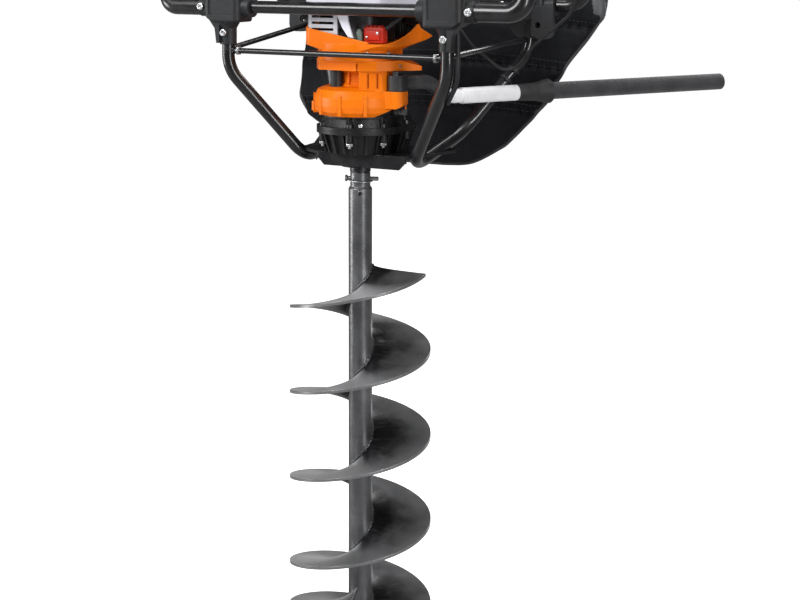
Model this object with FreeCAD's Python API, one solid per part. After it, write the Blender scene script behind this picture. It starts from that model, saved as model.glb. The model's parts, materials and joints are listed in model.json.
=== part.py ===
"""A one-person power ice auger: a small engine and gearbox in a tubular carrying frame, over a steel auger.

Millimetres, +Z up. The auger's axis is Z and its centre point touches the ice at the origin.
-Y is the front, +Y the operator's side with the hip cushion, +X the side of the brake lever.
Every function below makes one piece or one group of identical pieces.
"""
import FreeCAD
import Part
import math
import os

V = FreeCAD.Vector
UP = V(0, 0, 1)

# ---- Auger ------------------------------------------------------------------------------------------
FLIGHT_R = 100.0            # half of the 200 mm hole
FLIGHT_PITCH = 120.0
FLIGHT_THICK = 4.0
FLIGHT_PHASE_Z = 83.0       # height of the main flight at azimuth 0, less whole pitches
FLIGHT_FOOT_Z = 25.0
MAIN_TOP_DEG = 1462.0       # azimuth of the main flight's upper end, counted on through its turns
SECOND_TOP_DEG = 290.0
TUBE_R = 16.85
TUBE_WALL = 3.2
TUBE_FOOT_Z = 30.0
TUBE_TOP_Z = 683.0
NECK_R = 14.3
NECK_TOP_Z = 703.0
SOCKET_R = 11.0
SOCKET_FLOOR_Z = 640.0
PIN_Z = 694.0
PIN_R = 3.0
PIN_AZIMUTH = 20.0
BUTTON_Z = 675.0            # the weld plug below the neck
BUTTON_AZIMUTH = -62.0

# ---- Gear train -------------------------------------------------------------------------------------
MODULE = 1.1
PINION_TEETH = 12
WHEEL_TEETH = 72
PROFILE_SHIFT = 0.4
BACKLASH = 0.16
PRESSURE_ANGLE = math.radians(20)
CENTRE_DISTANCE = MODULE * (PINION_TEETH + WHEEL_TEETH) / 2
RUNNING = 0.05              # radial clearance of every running fit
STAGE_TWO_Z = (745.0, 757.0)
STAGE_ONE_Z = (760.0, 768.0)

# ---- Heights of the power head ----------------------------------------------------------------------
LIP_FOOT_Z = 714.0
PLATE_Z = (729.0, 733.0)
CASE_FOOT_Z = 733.0
CASE_SPLIT_Z = 766.0
CASE_TOP_Z = 786.0
NECK_JOINT_Z = 850.0
COVER_Z = (940.0, 1000.0)
CASE_TOP_OF_ENGINE_Z = 960.0
CRANK_Z = 925.0             # height of the cylinder's axis
SHROUD_OUTLINE = [(-58, -54), (58, -54), (90, 16), (84, 60), (46, 118), (-80, 118), (-96, 60), (-96, 30)]

# ---- Carrying frame ---------------------------------------------------------------------------------
FRAME_R = 9.0
FRAME_BORE = 7.0
LEG_X = 176.0
FRONT_Y = -73.0
REAR_Y = 190.0
RING_Z = 937.0
BRACKET_W, BRACKET_D = 60.0, 44.0
BRACKET_Z = (915.0, 971.0)
STUB_FOOT_Z = {FRONT_Y: 883.0, REAR_Y: 890.0}
STUB_R = 12.0
LOOP_X = 290.0
LOOP_Z = 1035.0
ROD_R = 4.0
ROD_Z = 874.0
SIDE_ROD_REAR_Z = {"right": 888.0, "left": 908.0}

# ---- Brake lever ------------------------------------------------------------------------------------
LEVER_PIVOT = V(70, -17, 0)
LEVER_START = V(116.3, 62.5, 811)
LEVER_DIR = V(0.5, math.sqrt(0.75), 0)
LEVER_TUBE_R = 10.0
LEVER_GRIP_R = 12.5
LEVER_END = 496.0


def cylinder(radius, z0, z1, x=0.0, y=0.0):
    return Part.makeCylinder(radius, z1 - z0, V(x, y, z0))


def ring(outer, inner, z0, z1, x=0.0, y=0.0):
    return cylinder(outer, z0, z1, x, y).cut(cylinder(inner, z0 - 1, z1 + 1, x, y))


def rod(start, end, radius):
    return Part.makeCylinder(radius, (end - start).Length, start, end - start)


def box(x0, x1, y0, y1, z0, z1):
    return Part.makeBox(x1 - x0, y1 - y0, z1 - z0, V(x0, y0, z0))


def edges_along(shape, axis):
    """The straight edges of a shape that run along one of the axes."""
    found = []
    for edge in shape.Edges:
        if len(edge.Vertexes) == 2 and edge.Curve.TypeId == "Part::GeomLine":
            run = edge.Vertexes[1].Point - edge.Vertexes[0].Point
            if abs(abs(run.dot(axis)) - run.Length) < 1e-6:
                found.append(edge)
    return found


def rounded_box(x0, x1, y0, y1, z0, z1, radius, axis=UP):
    block = box(x0, x1, y0, y1, z0, z1)
    return block.makeFillet(radius, edges_along(block, axis))


def soft_box(x0, x1, y0, y1, z0, z1, corner, rim):
    """A box with round upright corners and a smaller rounding around its top and bottom."""
    block = rounded_box(x0, x1, y0, y1, z0, z1, corner)
    flat = [e for e in block.Edges if abs(e.BoundBox.ZLength) < 1e-6]
    return block.makeFillet(rim, flat)


def prism(points, z0, z1):
    corners = [V(x, y, z0) for x, y in points]
    return Part.Face(Part.makePolygon(corners + corners[:1])).extrude(V(0, 0, z1 - z0))


def rounded_prism(points, z0, z1, radius):
    block = prism(points, z0, z1)
    return block.makeFillet(radius, edges_along(block, UP))


DIAGONAL = 30.0             # degrees round from the front to the side of the lever


def diagonal_prism(points, start, length):
    """A polygon of (distance to the right, Z) points, extruded; both seen square on from the diagonal."""
    return turned(profile_along(points, "Y", start, length), DIAGONAL)


def profile_along(points, axis, start, length):
    """A polygon drawn across an axis (for X the points are Y, Z; for Y they are X, Z), extruded along it."""
    if axis == "X":
        corners = [V(start, a, b) for a, b in points]
        reach = V(length, 0, 0)
    else:
        corners = [V(a, start, b) for a, b in points]
        reach = V(0, length, 0)
    return Part.Face(Part.makePolygon(corners + corners[:1])).extrude(reach)


def shrunk(points, margin):
    """The same convex outline, drawn anticlockwise, moved inward by a margin."""
    inner = []
    count = len(points)
    for k in range(count):
        before, here, after = (V(*points[j % count], 0) for j in (k - 1, k, k + 1))
        into, out = V(here - before).normalize(), V(after - here).normalize()
        normal_in, normal_out = V(-into.y, into.x, 0), V(-out.y, out.x, 0)
        moved = here + (normal_in + normal_out) * (margin / (1 + normal_in.dot(normal_out)))
        inner.append((moved.x, moved.y))
    return inner


def polar(radius, degrees, z=0.0):
    angle = math.radians(degrees)
    return V(radius * math.cos(angle), radius * math.sin(angle), z)


def bent_path(points, radii):
    """A wire through the points, with an arc of the given radius at each inner point."""
    edges = []
    here = points[0]
    for before, corner, after, radius in zip(points, points[1:], points[2:], radii):
        back = V(before - corner).normalize()
        on = V(after - corner).normalize()
        half = back.getAngle(on) / 2
        reach = radius / math.tan(half)
        start, end = corner + back * reach, corner + on * reach
        centre = corner + V(back + on).normalize() * (radius / math.sin(half))
        middle = centre + V(corner - centre).normalize() * radius
        edges.append(Part.makeLine(here, start))
        edges.append(Part.Arc(start, middle, end).toShape())
        here = end
    edges.append(Part.makeLine(here, points[-1]))
    return Part.Wire(edges)


def sweep(path, radius):
    start = path.Edges[0].Vertexes[0].Point
    direction = path.Edges[0].tangentAt(path.Edges[0].FirstParameter)
    section = Part.Wire(Part.makeCircle(radius, start, direction))
    return path.makePipeShell([section], True, False)


def bent_tube(points, radii, outer, inner):
    path = bent_path(points, radii)
    return sweep(path, outer).cut(sweep(path, inner))


def mirrored(shape):
    return shape.mirror(V(0, 0, 0), V(1, 0, 0))


def turned(shape, degrees, base=V(0, 0, 0), axis=UP):
    copy = shape.copy()
    copy.rotate(base, axis, degrees)
    return copy


def group(solids):
    return Part.makeCompound(solids)


# ---- Auger pieces -----------------------------------------------------------------------------------
BLADE_TILT = 20.0
BLADE_THICK = 3.5
BLADE_SCREWS_X = (40.0, 78.0)
BLADE_SCREW_Y = 3.0
SEAT_THICK = 4.0


def helical_plate(foot_deg, top_deg, foot_z):
    """A right-handed helicoid plate round the tube, from one azimuth to another."""
    height = (top_deg - foot_deg) / 360 * FLIGHT_PITCH
    half = FLIGHT_THICK / 2
    path = Part.makeHelix(FLIGHT_PITCH, height, FLIGHT_R)
    inner = TUBE_R - 0.6
    corners = [V(inner, 0, -half), V(FLIGHT_R, 0, -half), V(FLIGHT_R, 0, half), V(inner, 0, half)]
    section = Part.makePolygon(corners + corners[:1])
    plate = Part.Wire(path.Edges).makePipeShell([section], True, True)
    plate.translate(V(0, 0, foot_z))
    plate.rotate(V(0, 0, 0), UP, foot_deg)
    return plate.cut(cylinder(TUBE_R, foot_z - 60, foot_z + height + 60))


def blade_frame(shape, azimuth):
    """Places a shape drawn with X outward, Y forward in the cut and Z up at a flight's foot."""
    placed = shape.copy()
    placed.rotate(V(0, 0, 0), V(1, 0, 0), -BLADE_TILT)
    placed.translate(V(0, 0, FLIGHT_FOOT_Z - 3))
    placed = placed.mirror(V(0, 0, 0), V(0, 1, 0))
    placed.rotate(V(0, 0, 0), UP, azimuth)
    return placed


def blade_seat(azimuth):
    """The flat pad welded to the foot of a flight, which the blade is screwed to."""
    pad = prism([(20, -16), (92, -16), (96, -8), (96, 12), (20, 12)], 0, SEAT_THICK)
    for x in BLADE_SCREWS_X:
        pad = pad.cut(cylinder(3.0, -1, SEAT_THICK + 1, x, BLADE_SCREW_Y))
    return blade_frame(pad, azimuth)


def ice_blade(azimuth):
    """A chisel blade: flat on top, ground on its lower front edge, with clipped outer corners."""
    outline = [(15, -12), (88, -12), (101.5, -2), (101.5, 27), (96, 33), (22, 33), (15, 26)]
    blade = prism(outline, -BLADE_THICK, 0)
    grind = prism([(10, 20), (110, 20), (110, 40), (10, 40)], -BLADE_THICK - 12, -BLADE_THICK)
    grind.rotate(V(0, 20, -BLADE_THICK), V(1, 0, 0), 15)
    blade = blade.cut(grind)
    for x in BLADE_SCREWS_X:
        blade = blade.cut(cylinder(3.0, -BLADE_THICK - 1, 1, x, BLADE_SCREW_Y))
    return blade_frame(blade, azimuth)


def blade_screw_set(azimuth):
    """Two button-head screws from below with their nuts on top of the seat."""
    made = []
    for x in BLADE_SCREWS_X:
        shank = cylinder(3.0, -BLADE_THICK, SEAT_THICK + 5, x, BLADE_SCREW_Y)
        head = Part.makeCone(4.2, 5.5, 2.6, V(x, BLADE_SCREW_Y, -BLADE_THICK - 2.6))
        nut = prism([tuple(polar(5.8, 60 * k))[:2] for k in range(6)], SEAT_THICK, SEAT_THICK + 4)
        nut.translate(V(x, BLADE_SCREW_Y, 0))
        made.append(blade_frame(shank.fuse([head, nut]), azimuth))
    return made


def seated(plate, azimuth):
    """A flight with the seat of its blade welded on, clear of the blade, its screws and the tube."""
    body = plate.fuse(blade_seat(azimuth)).cut(cylinder(TUBE_R, 0, 600))
    for piece in [ice_blade(azimuth)] + blade_screw_set(azimuth):
        body = body.cut(piece)
    return max(body.Solids, key=lambda solid: solid.Volume)


MAIN_FOOT_DEG = (FLIGHT_FOOT_Z - FLIGHT_PHASE_Z) / FLIGHT_PITCH * 360
SECOND_FOOT_DEG = MAIN_FOOT_DEG + 180


def main_flight():
    plate = helical_plate(MAIN_FOOT_DEG, MAIN_TOP_DEG, FLIGHT_FOOT_Z)
    rim = polar(FLIGHT_R, MAIN_TOP_DEG - 16)
    hub = polar(TUBE_R, MAIN_TOP_DEG)
    run = V(rim - hub).normalize()
    away = V(-run.y, run.x, 0)
    far = [hub - run * 30, rim + run * 30, rim + run * 30 + away * 80, hub - run * 30 + away * 80]
    top_z = FLIGHT_FOOT_Z + (MAIN_TOP_DEG - MAIN_FOOT_DEG) / 360 * FLIGHT_PITCH
    end_cut = prism([(p.x, p.y) for p in far], top_z - 40, top_z + 20)
    return seated(plate.cut(end_cut), MAIN_FOOT_DEG)


def second_flight():
    plate = helical_plate(SECOND_FOOT_DEG, SECOND_TOP_DEG, FLIGHT_FOOT_Z)
    return seated(plate, SECOND_FOOT_DEG)


def pin_axis_rod(radius, start, end):
    along = polar(1, PIN_AZIMUTH)
    return rod(V(0, 0, PIN_Z) + along * start, V(0, 0, PIN_Z) + along * end, radius)


def auger_tube():
    body = cylinder(TUBE_R, TUBE_FOOT_Z, TUBE_TOP_Z - 3)
    body = body.fuse(Part.makeCone(TUBE_R, NECK_R + 0.6, 3, V(0, 0, TUBE_TOP_Z - 3)))
    body = body.fuse(cylinder(NECK_R, TUBE_TOP_Z, NECK_TOP_Z))
    body = body.cut(cylinder(TUBE_R - TUBE_WALL, 60, SOCKET_FLOOR_Z - 12))
    body = body.cut(cylinder(SOCKET_R, SOCKET_FLOOR_Z, NECK_TOP_Z + 1))
    body = body.cut(cylinder(7.0, TUBE_FOOT_Z - 1, 61))
    foot, head = (polar(TUBE_R + reach, BUTTON_AZIMUTH, BUTTON_Z) for reach in (-3, 1.6))
    button = rod(foot, head, 3)
    return body.cut(pin_axis_rod(PIN_R, -30, 30)).fuse(button)


def centre_point():
    """A fishtail point: a cone with two flats, on a shank in the foot of the tube."""
    cone = Part.makeCone(1.2, 11, 24, V(0, 0, 0)).fuse(cylinder(11, 24, TUBE_FOOT_Z))
    for side in (1, -1):
        flat = box(-20, 20, 0, 20, -1, 22)
        flat.rotate(V(0, 0, 0), V(1, 0, 0), 8)
        flat.translate(V(0, 3.2, 0))
        cone = cone.cut(flat if side == 1 else turned(flat, 180))
    return cone.fuse(cylinder(7.0, TUBE_FOOT_Z - 1, 56))


RING_CENTRE = V(0, 0, PIN_Z - 1.5)


def pin_ring():
    wire = Part.makeTorus(17.2, 1.1, RING_CENTRE, V(0.10, -0.06, 1), 0, 360, 360)
    return wire


def drive_pin():
    body = pin_axis_rod(PIN_R, -19, 25)
    head = pin_axis_rod(4.6, -21.5, -18.9)
    tip = pin_axis_rod(PIN_R, 23.5, 26).common(pin_axis_rod(2.4, 23.5, 26))
    return body.fuse([head, tip]).cut(pin_ring())


def output_spindle():
    body = cylinder(SOCKET_R, SOCKET_FLOOR_Z, 706)
    body = body.fuse(cylinder(14.8, 704.5, 710.5))
    body = body.fuse(cylinder(12.5, 706, STAGE_TWO_Z[0]))
    body = body.fuse(hexagon(SPINDLE_SEAT, 0, 0, STAGE_TWO_Z[0], STAGE_TWO_Z[1] + 1))
    return body.cut(pin_axis_rod(PIN_R, -30, 30))


# ---- Gears ------------------------------------------------------------------------------------------
def involute(angle):
    return math.tan(angle) - angle


def gear_outline(teeth, shift, phase):
    """Tooth outline as straight facets between points of the involute; a tooth is centred on the phase."""
    pitch_r = MODULE * teeth / 2
    base_r = pitch_r * math.cos(PRESSURE_ANGLE)
    tip_r = pitch_r + MODULE * (0.95 + shift)
    root_r = pitch_r - MODULE * (1.25 - shift)
    start_r = max(base_r, root_r) + 0.02
    half_pitch = (MODULE * (math.pi / 2 + 2 * shift * math.tan(PRESSURE_ANGLE)) - BACKLASH) / 2 / pitch_r
    flank = []
    for k in range(5):
        radius = start_r + (tip_r - start_r) * k / 4
        half = half_pitch + involute(PRESSURE_ANGLE) - involute(math.acos(base_r / radius))
        flank.append((radius, half))
    points = []
    for tooth in range(teeth):
        middle = phase + 2 * math.pi * tooth / teeth
        side = [(root_r, -flank[0][1] - 0.15 / pitch_r)] + [(r, -h) for r, h in flank]
        side += [(r, h) for r, h in reversed(flank)] + [(root_r, flank[0][1] + 0.15 / pitch_r)]
        points += [(r * math.cos(middle + a), r * math.sin(middle + a)) for r, a in side]
    return points


def gear(teeth, shift, phase, z0, z1, x=0.0, y=0.0):
    body = prism(gear_outline(teeth, shift, phase), z0, z1)
    body.translate(V(x, y, 0))
    return body


TOWARDS_IDLER = math.pi / 2


def hexagon(radius, x, y, z0, z1):
    corners = [polar(radius, 60 * k) for k in range(6)]
    return prism([(x + p.x, y + p.y) for p in corners], z0, z1)


HALF_TOOTH = math.pi / WHEEL_TEETH
PINION_SEAT = 4.2           # corner radius of the hexagons that carry the pinions
WHEEL_SEAT = 5.6            # and of the one that carries the intermediate gear
SPINDLE_SEAT = 12.0         # and of the one that carries the output gear


def wheel(phase, z0, z1, y, seat):
    """A large gear with a hexagonal bore and six hexagonal windows."""
    body = gear(WHEEL_TEETH, -PROFILE_SHIFT, phase + HALF_TOOTH, z0, z1, 0, y)
    for k in range(6):
        window = polar(26, 60 * k)
        body = body.cut(hexagon(6.5, window.x, window.y + y, z0 - 1, z1 + 1))
    return body.cut(hexagon(seat, 0, y, z0 - 1, z1 + 1))


def pinion(phase, z0, z1, y):
    body = gear(PINION_TEETH, PROFILE_SHIFT, phase, z0, z1, 0, y)
    return body.cut(hexagon(PINION_SEAT, 0, y, z0 - 1, z1 + 1))


def output_gear():
    return wheel(TOWARDS_IDLER, *STAGE_TWO_Z, 0, SPINDLE_SEAT)


def intermediate_pinion():
    return pinion(-TOWARDS_IDLER, *STAGE_TWO_Z, CENTRE_DISTANCE)


def intermediate_gear():
    return wheel(-TOWARDS_IDLER, *STAGE_ONE_Z, CENTRE_DISTANCE, WHEEL_SEAT)


def first_pinion():
    return pinion(TOWARDS_IDLER, *STAGE_ONE_Z, 0)


def intermediate_shaft():
    """Two journals with the hexagonal seats of the pinion and the gear between them."""
    y = CENTRE_DISTANCE
    lower, upper = cylinder(3.6, 737.5, STAGE_TWO_Z[0], 0, y), cylinder(5.0, STAGE_ONE_Z[1], 778, 0, y)
    seats = [
        hexagon(PINION_SEAT, 0, y, *STAGE_TWO_Z),
        hexagon(WHEEL_SEAT, 0, y, STAGE_TWO_Z[1], STAGE_ONE_Z[1]),
    ]
    return lower.fuse([upper] + seats)


DRUM_R = 39.0


def clutch_drum():
    """The clutch drum with its shaft, which carries the first pinion on its hexagonal end."""
    seat, neck = hexagon(PINION_SEAT, 0, 0, *STAGE_ONE_Z), cylinder(5.0, STAGE_ONE_Z[1], 771)
    cup = cylinder(DRUM_R, 792, 814).cut(cylinder(DRUM_R - 2.5, 795, 815))
    for k in range(6):
        hole = polar(22, 60 * k)
        cup = cup.cut(cylinder(5, 790, 797, hole.x, hole.y))
    return seat.fuse([neck, cylinder(6.0, 771, 795), cup])


# ---- Gearbox ----------------------------------------------------------------------------------------
def two_circle_wire(r_front, r_rear, z):
    """The outline round a circle on the auger's axis and one on the intermediate shaft's axis."""
    reach = CENTRE_DISTANCE
    lean = math.asin((r_front - r_rear) / reach)
    side = V(math.cos(lean), math.sin(lean), 0)
    other = V(-side.x, side.y, 0)
    front, rear = V(0, 0, z), V(0, reach, z)
    a, b = front + side * r_front, rear + side * r_rear
    c, d = rear + other * r_rear, front + other * r_front
    return Part.Wire([
        Part.Arc(d, V(0, -r_front, z), a).toShape(),
        Part.makeLine(a, b),
        Part.Arc(b, V(0, reach + r_rear, z), c).toShape(),
        Part.makeLine(c, d),
    ])


def two_circle_solid(r_front, r_rear, z0, z1):
    return Part.Face(two_circle_wire(r_front, r_rear, z0)).extrude(V(0, 0, z1 - z0))


def tapered_case(r_foot, r_top, rear_less, z0, z1):
    wires = [two_circle_wire(r_foot, r_foot - rear_less, z0), two_circle_wire(r_top, r_top - rear_less, z1)]
    return Part.makeLoft(wires, True, True)


SCREW_SPOTS = [(-52, 12), (-36, -43), (14, -54.5), (50, -23), (53, 38), (30, 88), (-30, 88), (-53, 48)]


def gearbox_ribs():
    """Upright cooling ribs that fan out round the case and stop at its taper."""
    ribs = []
    for degrees in range(-170, 0, 17):
        rib = box(30, 66, -1.3, 1.3, CASE_FOOT_Z, CASE_SPLIT_Z - 4)
        ribs.append(turned(rib, degrees))
    for y in (16, 34, 52, 70):
        ribs.append(box(-64, 64, y - 1.3, y + 1.3, CASE_FOOT_Z, CASE_SPLIT_Z - 4))
    return ribs


def gearbox_housing():
    outer = tapered_case(46, 56, 5, CASE_FOOT_Z, CASE_SPLIT_Z)
    ribs = outer
    envelope = tapered_case(50.5, 62, 5, CASE_FOOT_Z, CASE_SPLIT_Z)
    for rib in gearbox_ribs():
        ribs = ribs.fuse(rib.common(envelope))
    flange = two_circle_solid(62, 57, CASE_SPLIT_Z - 5, CASE_SPLIT_Z)
    body = ribs.fuse(flange)
    for x, y in SCREW_SPOTS:
        body = body.fuse(cylinder(5.5, CASE_SPLIT_Z - 16, CASE_SPLIT_Z, x, y))
    body = body.fuse(cylinder(27, 712, CASE_FOOT_Z + 1))
    body = body.cut(two_circle_solid(43.5, 43.5, 742, CASE_SPLIT_Z + 1))
    body = body.cut(cylinder(21, 711, 743))
    body = body.cut(cylinder(13, 737, 743, 0, CENTRE_DISTANCE))
    for x, y in BASE_BOLT_SPOTS:
        body = body.cut(cylinder(3.0, CASE_FOOT_Z - 1, PLATE_Z[1] + 6, x, y))
    for x, y in SCREW_SPOTS:
        body = body.cut(cylinder(2.5, CASE_SPLIT_Z - 13, CASE_SPLIT_Z + 1, x, y))
    return body.removeSplitter()


def gearbox_cover():
    """The upper half of the case, with a rim for the bell and a shoulder that rises at its front right."""
    body = two_circle_solid(62, 57, CASE_SPLIT_Z, CASE_SPLIT_Z + 5)
    body = body.fuse(tapered_case(56, 53, 5, CASE_SPLIT_Z + 5, CASE_TOP_Z - 2))
    body = body.fuse(cylinder(BELL_FOOT_R, CASE_TOP_Z - 2, CASE_TOP_Z))
    body = body.cut(two_circle_solid(43.5, 43.5, CASE_SPLIT_Z - 1, 771))
    body = body.cut(cylinder(14, 770, CASE_TOP_Z + 1))
    body = body.cut(cylinder(13, 770, 778.5, 0, CENTRE_DISTANCE))
    for x, y in SCREW_SPOTS:
        body = body.cut(cylinder(5.6, CASE_SPLIT_Z + 5, CASE_TOP_Z + 1, x, y))
        body = body.cut(cylinder(2.5, CASE_SPLIT_Z - 1, CASE_SPLIT_Z + 6, x, y))
    return body.fuse(bell().cut(bell_cavity()).common(shoulder_room()))


def cap_screw(x, y, seat_z, length, radius=2.5):
    """A socket-head screw pointing down, its head on the seat."""
    head = cylinder(radius * 1.8, seat_z, seat_z + radius * 2, x, y)
    head = head.cut(prism([(x + p.x, y + p.y) for p in [polar(radius * 0.9, 60 * k) for k in range(6)]],
                          seat_z + radius * 0.8, seat_z + radius * 2 + 1))
    return head.fuse(cylinder(radius, seat_z - length, seat_z, x, y))


def gearbox_screws():
    return [cap_screw(x, y, CASE_SPLIT_Z + 5, 16) for x, y in SCREW_SPOTS]


def bearing(outer, inner, z0, z1, x=0.0, y=0.0):
    """A sealed ball bearing, drawn as two races with the seals between them as one solid."""
    body = ring(outer, inner + RUNNING, z0, z1, x, y)
    mid, half = (outer + inner) / 2, (outer - inner) / 2 - 2
    for z in (z0, z1 - 0.6):
        body = body.cut(ring(mid + half, mid - half, z, z + 0.6, x, y))
    return body


def gearbox_bearings():
    """The five bearings of the train, and the lip seal below the spindle's lower one."""
    return group([
        bearing(21, 12.5, 718.5, 728.5),
        bearing(21, 12.5, 731, 741),
        bearing(13, 3.6, 737.5, 743, 0, CENTRE_DISTANCE),
        bearing(13, 5.0, 771.5, 778, 0, CENTRE_DISTANCE),
        bearing(14, 6.0, 773, 784),
        ring(21, 12.5 + RUNNING, 712.5, 718),
    ])


# ---- Base plate -------------------------------------------------------------------------------------
PLATE_FRONT_Y = -30.0
PLATE_REAR_Y = 100.0
PLATE_OUTLINE = [(-52, PLATE_FRONT_Y), (88, PLATE_FRONT_Y), (100, -2), (112, 78), (70, PLATE_REAR_Y),
                 (-70, PLATE_REAR_Y), (-112, 78), (-100, -2)]
BASE_BOLT_SPOTS = [(-30, -14), (30, -14), (-38, 60), (38, 60)]


def base_plate():
    """A folded steel plate with a lip at the front and at the rear, welded between the frame tubes."""
    full = prism(PLATE_OUTLINE, LIP_FOOT_Z, PLATE_Z[1])
    between_lips = box(-150, 150, PLATE_FRONT_Y + 3, PLATE_REAR_Y - 3, LIP_FOOT_Z - 1, PLATE_Z[0])
    body = full.cut(between_lips).cut(cylinder(27, LIP_FOOT_Z - 1, PLATE_Z[1] + 1))
    for x in (-52, 88):
        clip = box(-7, 7, -40, -20, -7, 7)
        clip.rotate(V(0, 0, 0), V(0, 1, 0), 45)
        clip.translate(V(x, 0, LIP_FOOT_Z))
        body = body.cut(clip)
    for tube in frame_tube_solids():
        body = body.cut(tube)
    for x, y in BASE_BOLT_SPOTS:
        body = body.cut(cylinder(3.0, PLATE_Z[0] - 1, PLATE_Z[1] + 1, x, y))
    return max(body.Solids, key=lambda solid: solid.Volume)


def base_bolts():
    """Hexagon bolts from below that hold the gearbox down on the plate."""
    made = []
    for x, y in BASE_BOLT_SPOTS:
        head = hexagon(5.8, x, y, PLATE_Z[0] - 4, PLATE_Z[0])
        made.append(head.fuse(cylinder(3.0, PLATE_Z[0] - 1, PLATE_Z[1] + 6, x, y)))
    return made


# ---- Carrying frame ---------------------------------------------------------------------------------
LEG_POINTS = [
    V(LEG_X, FRONT_Y, 930), V(LEG_X, FRONT_Y, 848), V(84, -3, 714),
    V(108, 112, 756), V(LEG_X, REAR_Y, 870), V(LEG_X, REAR_Y, 930),
]
LEG_BENDS = [55, 32, 80, 62]
LOOP_POINTS = [
    V(LEG_X + 14, FRONT_Y, RING_Z), V(284, FRONT_Y, RING_Z), V(LOOP_X, -38, LOOP_Z),
    V(LOOP_X, 158, LOOP_Z), V(262, REAR_Y, RING_Z), V(LEG_X + 14, REAR_Y, RING_Z),
]
LOOP_BENDS = [20, 40, 40, 34]
SLEEVE_R = 13.5
SOCKET_REACH = 14.0
SOCKET_R_OUTSIDE = 15.0
CROSS_REACH = LEG_X - 16


def right_frame_tube():
    return bent_tube(LEG_POINTS, LEG_BENDS, FRAME_R, FRAME_BORE)


def frame_tube_solids():
    solid = sweep(bent_path(LEG_POINTS, LEG_BENDS), FRAME_R)
    return [solid, mirrored(solid)]


def right_handle_tube():
    """The handle loop, with a thick sleeve pressed over its front elbow."""
    start = V(LEG_X + BRACKET_W / 2 + SOCKET_REACH + 0.5, FRONT_Y, RING_Z)
    rise = (LOOP_POINTS[1] + LOOP_POINTS[2]) * 0.5
    sleeve = sweep(bent_path([start, LOOP_POINTS[1], rise], LOOP_BENDS[:1]), SLEEVE_R)
    loop = sweep(bent_path(LOOP_POINTS, LOOP_BENDS), FRAME_R)
    return loop.fuse(sleeve).cut(sweep(bent_path(LOOP_POINTS, LOOP_BENDS), FRAME_BORE))


def along_x(radius, x0, x1, y, z):
    return rod(V(x0, y, z), V(x1, y, z), radius)


def cross_tube(y):
    outside = along_x(FRAME_R, -CROSS_REACH, CROSS_REACH, y, RING_Z)
    return outside.cut(along_x(FRAME_BORE, -CROSS_REACH - 1, CROSS_REACH + 1, y, RING_Z))


LUG_X, LUG_Z = 200.0, 909.0
LUG_HOLE_R = 4.5
TONGUE_R, TONGUE_Z = 27.0, 915.0


def strap_lug(front):
    """The round tongue under a rear block, and the slab with a strap's eye on its outer half."""
    tongue = rod(V(LEG_X, REAR_Y - 14, TONGUE_Z), V(LEG_X, REAR_Y + 6, TONGUE_Z), TONGUE_R)
    slab = box(LUG_X - 10, LUG_X + 24, front - 3, front + 5, LUG_Z - 20, RING_Z)
    slab = slab.makeFillet(12, [e for e in edges_along(slab, V(0, 1, 0)) if e.BoundBox.ZMax < LUG_Z])
    eye = rod(V(LUG_X, front - 4, LUG_Z), V(LUG_X, front + 6, LUG_Z), LUG_HOLE_R)
    return tongue.fuse(slab).cut(eye)


def stub_web(y):
    """The web that joins the stub of a front block to its outer side."""
    x1 = LEG_X + BRACKET_W / 2
    outline = [(LEG_X + 6, STUB_FOOT_Z[y] + 2), (LEG_X + 11, STUB_FOOT_Z[y] + 2), (LEG_X + 14, 906),
               (x1 + 3, 930), (x1 + 3, 962), (x1 - 4, 966), (LEG_X + 6, 930)]
    return profile_along(outline, "Y", y - BRACKET_D / 2 + 7, 12)


def bracket(y):
    """A moulded corner block with sockets for a leg, a cross tube and a handle loop."""
    x0, x1 = LEG_X - BRACKET_W / 2, LEG_X + BRACKET_W / 2
    front = y - BRACKET_D / 2
    block = soft_box(x0, x1, front, y + BRACKET_D / 2, *BRACKET_Z, 9, 4)
    stub = cylinder(STUB_R, STUB_FOOT_Z[y], BRACKET_Z[0] + 4, LEG_X, y)
    shoulder = Part.makeCone(STUB_R, 20, 14, V(LEG_X, y, BRACKET_Z[0] - 9))
    inner = along_x(SOCKET_R_OUTSIDE, x0 - 12, x0 + 6, y, RING_Z)
    outer = along_x(SOCKET_R_OUTSIDE, x1 - 6, x1 + SOCKET_REACH, y, RING_Z)
    if y == FRONT_Y:
        z0 = BRACKET_Z[0]
        corner = [(x1 + 1, z0 + 12), (x1 + 1, z0 - 1), (x1 - 17, z0 - 1)]
        block = block.cut(profile_along(corner, "Y", front - 1, BRACKET_D + 2))
        body = block.fuse([stub, shoulder, inner, outer, stub_web(y)])
    else:
        body = block.fuse([stub, shoulder, inner, outer, strap_lug(front)])
    panel = rounded_box(x0 + 10, x1 - 10, front - 1, front + 1.6, 925, 961, 4, V(0, 1, 0))
    body = body.cut(panel)
    leg = frame_tube_solids()[0]
    loop = sweep(bent_path(LOOP_POINTS, LOOP_BENDS), FRAME_R)
    cross = along_x(FRAME_R, -CROSS_REACH, CROSS_REACH, y, RING_Z)
    for seat, into in clamp_screw_places(y):
        body = body.cut(rod(seat - into * 2, seat + into * 6, 2.6))
    return body.cut(leg).cut(loop).cut(cross)


def clamp_screw_places(y):
    """Seats and directions of the three clamping screws of a right-hand bracket, on its outer side."""
    way = 1 if y == FRONT_Y else -1
    into = V(0, way, 0)
    return [
        (V(LEG_X, y - way * STUB_R, 900), into),
        (V(LEG_X + BRACKET_W / 2 + 8, y - way * SOCKET_R_OUTSIDE, RING_Z), into),
        (V(LEG_X - BRACKET_W / 2 - 7, y + way * SOCKET_R_OUTSIDE, RING_Z), V(0, -way, 0)),
    ]


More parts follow.
